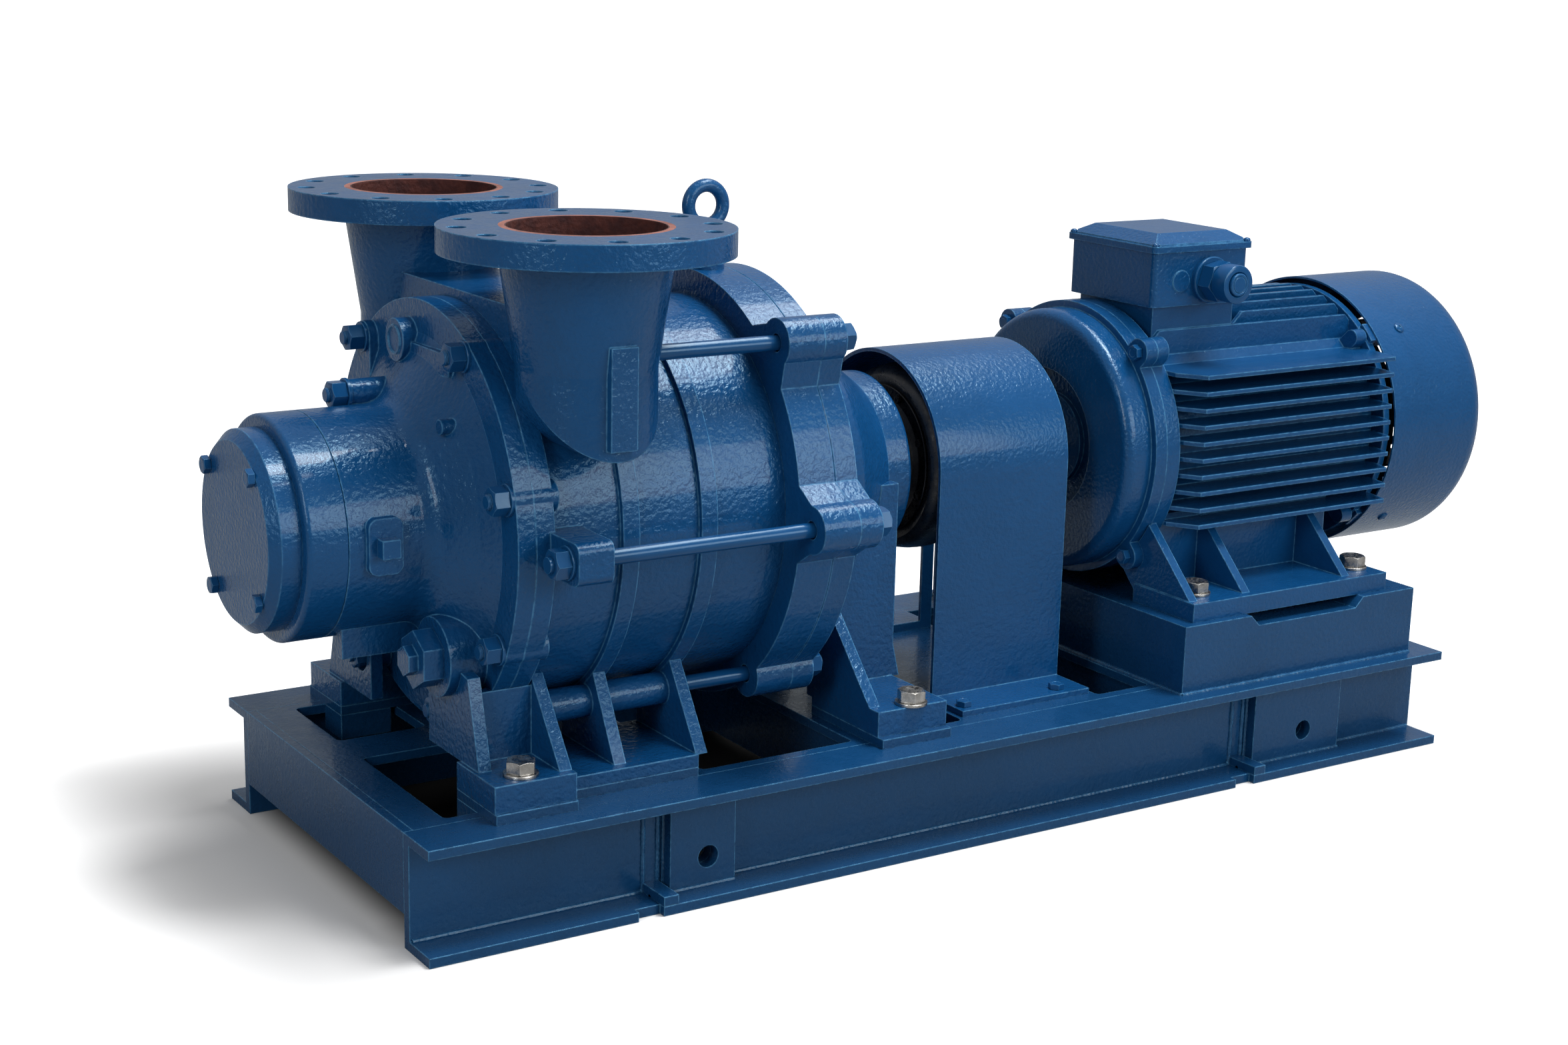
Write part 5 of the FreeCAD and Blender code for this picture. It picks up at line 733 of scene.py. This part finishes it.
class Workpiece:
    """A new piece: a mesh under construction that becomes an object riding on a body."""

    SMOOTH_BELOW = math.radians(32.0)
    BEAD_SIDES = 8
    BEAD_STEP = 0.8
    RIPPLE, RIPPLE_TURN = 0.13, 2.2
    SWAY, SWAY_TURN, SWAY_ALONG = 0.10, 0.37, 40.0

    def __init__(self, name: str) -> None:
        """Starts an empty piece of this name."""
        self.name = name
        self.shape = bmesh.new()

    def stack(self, rings: list[Ring], place: Matrix, segments: int = 36, closed: bool = False) -> None:
        """Extrudes a circle from ring to ring into a closed form.

        Args:
            rings: The steps, from the first end to the last.
            place: Where the form goes.
            segments: Sides of the circle.
            closed: Whether the last ring meets the first, as on a hoop, in place of end faces.
        """
        verts, edges = self.circle(segments, 1.0)
        first_edges = edges
        members = list(verts)
        for vert in verts:
            rings[0].place(vert)
        for ring in rings[1:]:
            verts, edges = self.extruded(edges)
            for vert in verts:
                ring.place(vert)
            members += verts
        self.close_ends(members, first_edges, edges, closed)
        bmesh.ops.transform(self.shape, matrix=place, verts=members)

    def circle(self, segments: int, radius: float) -> tuple[list, list]:
        """Starts a form with a circle, and gives its vertices and its edges."""
        verts = bmesh.ops.create_circle(self.shape, segments=segments, radius=radius)["verts"]
        return verts, list(dict.fromkeys(edge for vert in verts for edge in vert.link_edges))

    def extruded(self, edges: list[Edge]) -> tuple[list, list]:
        """Extrudes an open end, and gives the new end's vertices and edges."""
        grown = bmesh.ops.extrude_edge_only(self.shape, edges=edges)["geom"]
        return tuple([part for part in grown if isinstance(part, kind)] for kind in (Vert, Edge))

    def close_ends(self, members: list[Vert], first: list[Edge], last: list[Edge], hoop: bool) -> None:
        """Closes a form and turns its faces outward.

        Args:
            members: Every vertex of the form.
            first: The edges that it began with.
            last: The edges that it ended with.
            hoop: Whether its ends meet, in place of end faces.
        """
        if hoop:
            bmesh.ops.bridge_loops(self.shape, edges=first + last)
        else:
            bmesh.ops.edgeloop_fill(self.shape, edges=first)
            bmesh.ops.edgeloop_fill(self.shape, edges=last)
        faces = list(dict.fromkeys(face for vert in members for face in vert.link_faces))
        bmesh.ops.recalc_face_normals(self.shape, faces=faces)

    def bead(self, start: Point, end: Point, radius: float) -> None:
        """Lays a rippled weld bead along a straight joint.

        Args:
            start: One end of the joint.
            end: Its other end.
            radius: Radius of the bead.
        """
        center = Vector(start)
        along = Vector(end) - center
        steps = max(2, round(along.length / (radius * self.BEAD_STEP)))
        verts, edges = self.circle(self.BEAD_SIDES, radius)
        bmesh.ops.transform(self.shape, matrix=aimed(center, along), verts=verts)
        first_edges = edges
        members = list(verts)
        for step in range(1, steps + 1):
            verts, edges = self.extruded(edges)
            bmesh.ops.translate(self.shape, verts=verts, vec=along / steps)
            center += along / steps
            ripple = self.RIPPLE * math.sin(step * self.RIPPLE_TURN)
            sway = self.SWAY * math.sin(step * self.SWAY_TURN + center.x * self.SWAY_ALONG)
            for vert in verts:
                offset = vert.co - center
                vert.co = center + offset.normalized() * radius * (1.0 + ripple + sway)
            members += verts
        self.close_ends(members, first_edges, edges, hoop=False)

    def finish(self, body: Body, slot: str, material: Material, stands_for: str | None = None) -> None:
        """Makes the object, dresses it and sets it on its body.

        Args:
            body: The body that it rides on.
            slot: The record's material slot, which is not used.
            material: Its finish.
            stands_for: The carried-over node that it replaces, if any.
        """
        mesh = bpy.data.meshes.new(self.name)
        self.shape.to_mesh(mesh)
        self.shape.free()
        mesh.shade_smooth()
        mesh.set_sharp_from_angle(angle=self.SMOOTH_BELOW)
        mesh.materials.append(material)
        piece = bpy.data.objects.new(self.name, mesh)
        bpy.context.scene.collection.objects.link(piece)
        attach(piece, body.value)
        if stands_for is not None:
            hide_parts(stands_for)
        LOG.info("made %s with %d faces", self.name, len(mesh.polygons))


def aimed(seat: Vector, facing: Vector, spin: float = 0.0) -> Matrix:
    """Place of a form that stands on a seat and faces one way, turned by spin about that way."""
    turn = facing.to_track_quat("Z", "Y").to_matrix().to_4x4()
    return Matrix.Translation(seat) @ turn @ Matrix.Rotation(spin, 4, "Z")


@dataclass(frozen=True)
class HexFastener:
    """A hexagon bolt head or nut with its washer, the shank below and the stud end above."""

    flats: float
    head: float
    washer_radius: float = 0.0
    washer: float = 0.0
    shank_radius: float = 0.0
    shank: float = 0.0
    stud_radius: float = 0.0
    stud_proud: float = 0.0
    pitch: float = 2.0 * MM

    EASE = 0.6 * MM
    SEAT_FACE, TOP_FACE, CHAMFER_FROM = 0.94, 0.93, 0.97
    VALLEY, CREST = 0.3, 0.8
    DISH_RIM, DISH = 0.62, 0.58

    def rings(self) -> list[Ring]:
        """Steps of the form from the shank's end to the stud's end.

        Returns:
            The rings in order.
        """
        half, ease = self.flats / 2, self.EASE
        top = self.washer + self.head
        steps = []
        if self.shank > 0:
            shank = self.shank_radius
            steps += [Ring(shank - ease, -self.shank), Ring(shank, ease - self.shank), Ring(shank, 0.0)]
        if self.washer > 0:
            outside = self.washer_radius
            steps += [Ring(outside - ease / 2, 0.0), Ring(outside, ease / 2)]
            steps += [Ring(outside, self.washer - ease), Ring(outside - ease, self.washer)]
            steps.append(Ring(half * self.SEAT_FACE, self.washer))
        steps.append(Ring(half, self.washer + ease, six_sided=True))
        steps.append(Ring(half, top, six_sided=True, chamfer_radius=half * self.CHAMFER_FROM))
        steps.append(Ring(half * self.TOP_FACE, top))
        if self.stud_proud > 0:
            stud = self.stud_radius
            steps += [Ring(stud + ease, top), Ring(stud, top - ease)]
            for turn in range(int(self.stud_proud / self.pitch)):
                height = top + turn * self.pitch
                steps.append(Ring(stud - ease, height + self.pitch * self.VALLEY))
                steps.append(Ring(stud, height + self.pitch * self.CREST))
            steps.append(Ring(stud - 2.5 * ease, top + self.stud_proud))
        else:
            steps += [Ring(half * self.DISH_RIM, top), Ring(half * self.DISH, top - ease / 2)]
        return steps


@dataclass(frozen=True)
class RoundScrew:
    """A low domed screw head with a round hollow in its top."""

    radius: float
    head: float

    RIM = 0.45
    DOME_STEPS = (0.25, 0.5, 0.75)
    MOUTH, HOLLOW, HOLLOW_FLOOR = 0.28, 0.22, 0.6

    def rings(self) -> list[Ring]:
        """Steps of the head from its seat.

        Returns:
            The rings in order.
        """
        steps = [Ring(self.radius, 0.0), Ring(self.radius, self.head * self.RIM)]
        for part in self.DOME_STEPS:
            angle = part * math.pi / 2
            rise = self.RIM + (1.0 - self.RIM) * math.sin(angle)
            steps.append(Ring(self.radius * math.cos(angle), self.head * rise))
        steps.append(Ring(self.radius * self.MOUTH, self.head))
        steps.append(Ring(self.radius * self.HOLLOW, self.head * self.HOLLOW_FLOOR))
        return steps


Form = HexFastener | RoundScrew


@dataclass
class Fasteners:
    """Every bolt, nut and screw, with chamfers, washers and thread ends, in place of the plain ones."""

    nodes: dict[str, Object]
    materials: dict[str, Material]
    axis: Vector = field(default_factory=lambda: Vector((0.0, 0.0, 445.0)) * MM)
    cover: HexFastener = HexFastener(30 * MM, 19 * MM, 19 * MM, 4 * MM, stud_radius=9 * MM, stud_proud=5 * MM)
    tie_nut: HexFastener = HexFastener(32 * MM, 18 * MM, 20 * MM, 4 * MM)
    end_cap: HexFastener = HexFastener(19 * MM, 9 * MM)
    ear: HexFastener = HexFastener(19 * MM, 10 * MM)
    guard: HexFastener = HexFastener(19 * MM, 8 * MM)
    foot: HexFastener = HexFastener(32 * MM, 15 * MM, 21 * MM, 4 * MM, 10 * MM, 45 * MM)
    motor_foot: HexFastener = HexFastener(32 * MM, 15 * MM, 21 * MM, 4 * MM, 10 * MM, 38 * MM)
    cowl_screw: RoundScrew = RoundScrew(8 * MM, 4 * MM)
    cowl_screw_sink: float = 2.5 * MM
    lid_screw: RoundScrew = RoundScrew(5 * MM, 5 * MM)
    turn_step: float = 0.61

    HEX_SIDES = 36
    ROUND_SIDES = 24

    def make(self) -> None:
        """Makes every group."""
        left, up = Vector((-1, 0, 0)), Vector((0, 0, 1))
        self.group("cover_bolts", self.cover, left)
        self.group("end_cap_bolts", self.end_cap, left)
        self.group("shield_bolts", self.ear, left)
        self.group("guard_bolts", self.guard, up)
        self.group("pump_foot_bolts", self.foot, up, "bolt_steel")
        self.group("motor_foot_bolts", self.motor_foot, up, "bolt_steel")
        self.group("lid_screws", self.lid_screw, up)
        self.group("tie_rod_nuts", self.tie_nut)
        screws = Workpiece("cowl_screws_detailed")
        for island in Island.all_of(self.nodes["cowl_screws"]):
            outward = island.middle - self.axis
            outward.x = 0.0
            outward.normalize()
            seat = island.middle - outward * self.cowl_screw_sink
            screws.stack(self.cowl_screw.rings(), aimed(seat, outward), self.ROUND_SIDES)
        screws.finish(Body.FIXED, "blue_enamel", self.materials["fastener"], "cowl_screws")

    def seat_one(self, piece: Workpiece, form: Form, island: Island, facing: Vector, index: int) -> None:
        """Adds one fastener where a plain one lies.

        Args:
            piece: The piece that it becomes part of.
            form: Its form.
            island: The plain one.
            facing: The direction from the seat to the head.
            index: Its number in the group, which turns its hexagon.
        """
        tip = island.middle.copy()
        above = form.head
        if isinstance(form, HexFastener):
            above += form.washer + form.stud_proud
        for axis in range(3):
            if facing[axis] > 0:
                tip[axis] = island.high[axis]
            elif facing[axis] < 0:
                tip[axis] = island.low[axis]
        seat = tip - facing * above
        segments = self.HEX_SIDES if isinstance(form, HexFastener) else self.ROUND_SIDES
        piece.stack(form.rings(), aimed(seat, facing, index * self.turn_step), segments)

    def group(self, node: str, form: Form, facing: Vector | None = None, finish: str = "fastener") -> None:
        """Makes one group of identical fasteners.

        Args:
            node: The carried-over node that it stands for.
            form: The form of each.
            facing: The direction from the seat to the head, or nothing where both ends face outward.
            finish: The finish's short name.
        """
        piece = Workpiece(node + "_detailed")
        islands = Island.all_of(self.nodes[node])
        middle = sum(island.middle.x for island in islands) / len(islands)
        for index, island in enumerate(islands):
            away = Vector((math.copysign(1.0, island.middle.x - middle), 0, 0))
            self.seat_one(piece, form, island, away if facing is None else facing, index)
        slot = "bolt_steel" if finish == "bolt_steel" else "blue_enamel"
        piece.finish(Body.FIXED, slot, self.materials[finish], node)


@dataclass
class Coupling:
    """The coupling's rubber tyre with its rounded arch, clamp rings and cap screws."""

    rubber: Material
    steel: Material
    foot_radius: float = 84.0 * MM
    arch_radius: float = 127.5 * MM
    wall: float = 12.0 * MM
    foot_wall: float = 9.0 * MM
    arch_steps: int = 9
    clamp_radius: float = 101.0 * MM
    clamp: float = 4.5 * MM
    screw: HexFastener = HexFastener(10 * MM, 5 * MM)
    screws: int = 8
    screw_circle: float = 93.0 * MM
    turn_step: float = 0.4
    bulge: float = 0.5
    clearance: float = 0.2 * MM
    ease: float = 1.0 * MM
    sides: int = 72

    def make(self) -> None:
        """Makes the tyre and what clamps it."""
        low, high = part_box("coupling_tyre")
        middle = (low + high) / 2
        half = (high.x - low.x) / 2
        place = aimed(middle, Vector((1, 0, 0)))
        tyre = Workpiece("coupling_tyre_arched")
        tyre.stack(self.arch(half), place, self.sides, closed=True)
        tyre.finish(Body.PUMP_ROTOR, "rubber", self.rubber, "coupling_tyre")
        clamps = Workpiece("coupling_clamps")
        for side in (-1, 1):
            outward = Vector((side, 0, 0))
            seat = middle + outward * (half - self.clamp)
            clamps.stack(self.clamp_ring(), aimed(seat, outward), self.sides, closed=True)
            for number in range(self.screws):
                angle = FULL_TURN * (number + 0.5) / self.screws
                around = Vector((0, math.cos(angle), math.sin(angle))) * self.screw_circle
                head = seat + around + outward * self.clamp
                clamps.stack(self.screw.rings(), aimed(head, outward, number * self.turn_step))
        clamps.finish(Body.PUMP_ROTOR, "cast_iron", self.steel)

    def arch(self, half: float) -> list[Ring]:
        """Section of the tyre, round its outside and back through its hollow.

        Args:
            half: Half of the tyre's width.

        Returns:
            The rings of the hoop.
        """
        flank = half - self.clamp
        back = flank - self.foot_wall
        rise = self.arch_radius - self.clamp_radius
        deep = self.clamp_radius - self.wall / 2
        outside, inside = [], []
        for step in range(self.arch_steps):
            angle = math.pi * (step + 0.5) / self.arch_steps
            full = math.sin(angle) ** self.bulge
            outside.append(Ring(self.clamp_radius + rise * full, -half * math.cos(angle)))
            inside.append(Ring(deep + (rise - self.wall / 2) * full, back * math.cos(angle)))
        return [
            Ring(self.foot_radius, -flank), Ring(self.clamp_radius, -flank), *outside,
            Ring(self.clamp_radius, flank), Ring(self.foot_radius, flank),
            Ring(self.foot_radius, back), Ring(deep, back), *inside,
            Ring(deep, -back), Ring(self.foot_radius, -back),
        ]

    def clamp_ring(self) -> list[Ring]:
        """Section of a clamp ring.

        Returns:
            The rings of the hoop.
        """
        inside, outside, ease = self.foot_radius + self.clearance, self.clamp_radius, self.ease
        return [
            Ring(inside, 0.0), Ring(outside, 0.0), Ring(outside, self.clamp - ease),
            Ring(outside - ease, self.clamp), Ring(inside + ease, self.clamp),
            Ring(inside, self.clamp - ease),
        ]


@dataclass
class CableGland:
    """The terminal box's cable gland: seat ring, hexagon body, smooth cap nut and blanking plug."""

    material: Material
    seat_radius: float = 32.6 * MM
    seat: float = 8.0 * MM
    flats: float = 50.0 * MM
    body: float = 26.0 * MM
    neck_radius: float = 25.0 * MM
    cap_radius: float = 26.8 * MM
    cap: float = 26.0 * MM
    plug_radius: float = 15.8 * MM
    plug_proud: float = 3.0 * MM
    plug_depth: float = 18.0 * MM
    ease: float = 1.2 * MM
    groove: float = 2.0 * MM
    clearance: float = 0.2 * MM
    turned_by: float = math.radians(12.0)
    sides: int = 72

    SEAT_FACE, TOP_FACE, CHAMFER_FROM = 0.93, 0.94, 0.98
    PLUG_RIM = 0.72

    def make(self) -> None:
        """Makes the gland and its plug."""
        low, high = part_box("cable_gland")
        seat = (low + high) / 2
        seat.y = high.y
        place = aimed(seat, Vector((0, -1, 0)), self.turned_by)
        gland = Workpiece("cable_gland_turned")
        gland.stack(self.gland_rings(), place, self.sides, closed=True)
        gland.finish(Body.FIXED, "blue_enamel", self.material, "cable_gland")
        plug = Workpiece("gland_plug_turned")
        plug.stack(self.plug_rings(), place, self.sides)
        plug.finish(Body.FIXED, "blue_enamel", self.material, "gland_plug")

    def gland_rings(self) -> list[Ring]:
        """Section of the gland, from its bore at the box out to its mouth.

        Returns:
            The rings of the hoop.
        """
        bore = self.plug_radius + self.clearance
        half, ease, groove = self.flats / 2, self.ease, self.groove
        body_end = self.seat + self.body
        mouth = body_end + self.cap
        return [
            Ring(bore, 0.0), Ring(self.seat_radius, 0.0), Ring(self.seat_radius, self.seat - ease),
            Ring(self.seat_radius - ease, self.seat), Ring(half * self.SEAT_FACE, self.seat),
            Ring(half, self.seat + ease, six_sided=True),
            Ring(half, body_end - groove, six_sided=True, chamfer_radius=half * self.CHAMFER_FROM),
            Ring(half * self.TOP_FACE, body_end - groove), Ring(self.neck_radius, body_end - groove / 2),
            Ring(self.neck_radius, body_end), Ring(self.cap_radius - ease, body_end),
            Ring(self.cap_radius, body_end + ease), Ring(self.cap_radius, mouth - 1.6 * ease),
            Ring(self.cap_radius - 0.5 * ease, mouth - 0.5 * ease),
            Ring(self.cap_radius - 1.6 * ease, mouth), Ring(bore + 2 * ease, mouth),
            Ring(bore, mouth - 2 * ease),
        ]

    def plug_rings(self) -> list[Ring]:
        """Section of the blanking plug.

        Returns:
            The rings in order.
        """
        mouth = self.seat + self.body + self.cap
        face = mouth + self.plug_proud
        ease = self.ease
        inner = self.plug_radius * self.PLUG_RIM
        return [
            Ring(self.plug_radius, mouth - self.plug_depth), Ring(self.plug_radius, face - ease),
            Ring(self.plug_radius - ease, face), Ring(inner + ease, face), Ring(inner, face - ease),
            Ring(inner - ease, face),
        ]


@dataclass
class Welds:
    """Weld beads along the joints of the base frame and the pedestal."""

    material: Material
    radius: float = 3.2 * MM
    web_y: float = 259.0 * MM
    plate_y: float = 277.0 * MM
    flange_top: float = 12.0 * MM
    plate_top: float = 128.0 * MM

    def make(self) -> None:
        """Makes the beads of the beams and of the pedestal."""
        self.beam_beads()
        self.pedestal_beads()

    def beam_beads(self) -> None:
        """Lays beads where the beams' webs and the lifting plates meet the lower flanges."""
        low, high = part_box("near_side_beam")
        base, top = self.flange_top, self.plate_top
        islands = Island.all_of(bpy.data.objects["lifting_plates"])
        plates = [island for island in islands if island.high.z > 2 * base]
        for side, name in ((-1, "near"), (1, "far")):
            piece = Workpiece(f"beam_welds_{name}")
            web, plate = side * self.web_y, side * self.plate_y
            own = [island for island in plates if island.middle.y * side > 0]
            stops = [low.x + self.radius]
            for island in own:
                stops += [island.low.x, island.high.x]
            stops.append(high.x - self.radius)
            for start, end in zip(stops[::2], stops[1::2]):
                piece.bead((start, web, base), (end, web, base), self.radius)
            for island in own:
                piece.bead((island.low.x, plate, base), (island.high.x, plate, base), self.radius)
                for x in (island.low.x, island.high.x):
                    piece.bead((x, web, base), (x, web, top), self.radius)
            piece.finish(Body.FIXED, "blue_enamel", self.material)

    def pedestal_beads(self) -> None:
        """Lays beads round the foot of the motor pedestal."""
        low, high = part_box("motor_pedestal")
        piece = Workpiece("pedestal_welds")
        corners = [(low.x, low.y), (high.x, low.y), (high.x, high.y), (low.x, high.y)]
        for start, end in zip(corners, corners[1:] + corners[:1]):
            piece.bead((*start, low.z), (*end, low.z), self.radius)
        piece.finish(Body.FIXED, "blue_enamel", self.material)


@dataclass
class Paintwork:
    """Gives every carried-over node the finish that it has on the real set."""

    effects: SharedEffects
    branch_x: float = -593.0 * MM
    branch_y: float = 219.0 * MM
    face_level: float = 810.0 * MM
    materials: dict[str, Material] = field(default_factory=dict)

    WEARERS = {
        "suction": "suction_branch",
        "discharge": "discharge_branch",
        "casting": (
            "front_cover pump_casing branch_saddle rear_plate rear_cover front_feet casing_feet rear_stand"
        ),
        "smooth_casting": (
            "front_end_cap front_bearing_carrier side_plug drain_plug lifting_eye motor_frame"
            " drive_end_shield non_drive_end_shield"
        ),
        "frame_sheet": (
            "near_side_beam far_side_beam lifting_plates end_plates deck_plate cross_members foot_brackets"
            " pump_foot_pads motor_pedestal"
        ),
        "sheet": "coupling_guard fan_cowl terminal_box terminal_box_lid cable_gland gland_plug",
        "fastener": (
            "end_cap_bolts cover_bolts tie_rods tie_rod_nuts guard_bolts shield_bolts cowl_screws lid_screws"
        ),
    }

    def make(self) -> None:
        """Makes the finishes."""
        near = (self.branch_x, -self.branch_y, self.face_level)
        far = (self.branch_x, self.branch_y, self.face_level)
        finishes = {
            "casting": EnamelFinish("Blue enamel on casting"),
            "sheet": EnamelFinish(
                "Blue enamel on sheet", grain=190.0, relief=1.1, sand=0.08, waves=0.10, gloss=(0.22, 0.25),
                edge_radius=2.4 * MM,
            ),
            "frame_sheet": EnamelFinish(
                "Blue enamel on frame steel", paint=(0.0060, 0.050, 0.138), grain=160.0, relief=0.7,
                sand=0.1, waves=0.15, gloss=(0.25, 0.32), edge_radius=2.4 * MM,
            ),
            "smooth_casting": EnamelFinish(
                "Blue enamel on fine casting", grain=200.0, relief=1.0, edge_radius=2.8 * MM
            ),
            "fastener": EnamelFinish(
                "Blue enamel on fasteners", grain=600.0, relief=0.06, edge_radius=0.9 * MM, edge_cover=0.8
            ),
            "suction": EnamelFinish("Blue enamel with primed suction bore", bore=near),
            "discharge": EnamelFinish("Blue enamel with primed discharge bore", bore=far),
            "bolt_steel": MetalFinish(
                "Bare bolt steel", (0.25, 0.24, 0.22), (0.55, 0.54, 0.52), (0.22, 0.38)
            ),
            "shaft_steel": MetalFinish(
                "Ground shaft steel", (0.42, 0.41, 0.40), (0.58, 0.58, 0.58), (0.2, 0.36)
            ),
            "bearing_steel": MetalFinish("Bearing steel", (0.55, 0.55, 0.56), (0.66, 0.66, 0.67), (0.1, 0.2)),
            "cast_iron": MetalFinish(
                "Grey cast iron", (0.11, 0.105, 0.10), (0.20, 0.20, 0.20), (0.5, 0.75), 0.6
            ),
            "black_steel": MetalFinish(
                "Blackened steel", (0.018, 0.019, 0.021), (0.035, 0.037, 0.042), (0.25, 0.42)
            ),
            "rubber": SoftFinish("Black rubber", (0.005, 0.008, 0.013), (0.018, 0.027, 0.040), (0.26, 0.42)),
            "packing": SoftFinish("Braided packing", (0.30, 0.26, 0.17), (0.48, 0.42, 0.30), (0.77, 0.93)),
            "fan_plastic": SoftFinish(
                "Black fan plastic", (0.010, 0.010, 0.011), (0.028, 0.028, 0.03), (0.42, 0.58)
            ),
        }
        self.materials = {key: finish.make(self.effects) for key, finish in finishes.items()}

    def dress_frame(self, nodes: dict[str, Object], slots: dict[str, str]) -> None:
        """Dresses every carried-over node.

        Args:
            nodes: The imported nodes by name.
            slots: Each node's material slot in the record.
        """
        painted = {name: key for key, names in self.WEARERS.items() for name in names.split()}
        for name, node in nodes.items():
            bare = slots[name] if slots[name] in self.materials else "casting"
            key = painted.get(name, bare)
            node.data.materials.clear()
            node.data.materials.append(self.materials[key])
            LOG.info("dressed %s as %s", name, key)


def main() -> None:
    """Builds the scene in order."""
    logging.basicConfig(level=logging.INFO, format="%(message)s")
    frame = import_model()
    bpy.context.scene.view_settings.view_transform = "Standard"
    Studio().make()
    effects = SharedEffects()
    paintwork = Paintwork(effects)
    paintwork.make()
    slots = {part["node"]: part["material_slot"] for part in frame["record"]["subparts"]}
    paintwork.dress_frame(frame["nodes"], slots)
    Fasteners(frame["nodes"], paintwork.materials).make()
    Welds(paintwork.materials["frame_sheet"]).make()
    Coupling(paintwork.materials["rubber"], paintwork.materials["black_steel"]).make()
    CableGland(paintwork.materials["fastener"]).make()


if __name__ == "__main__":
    main()
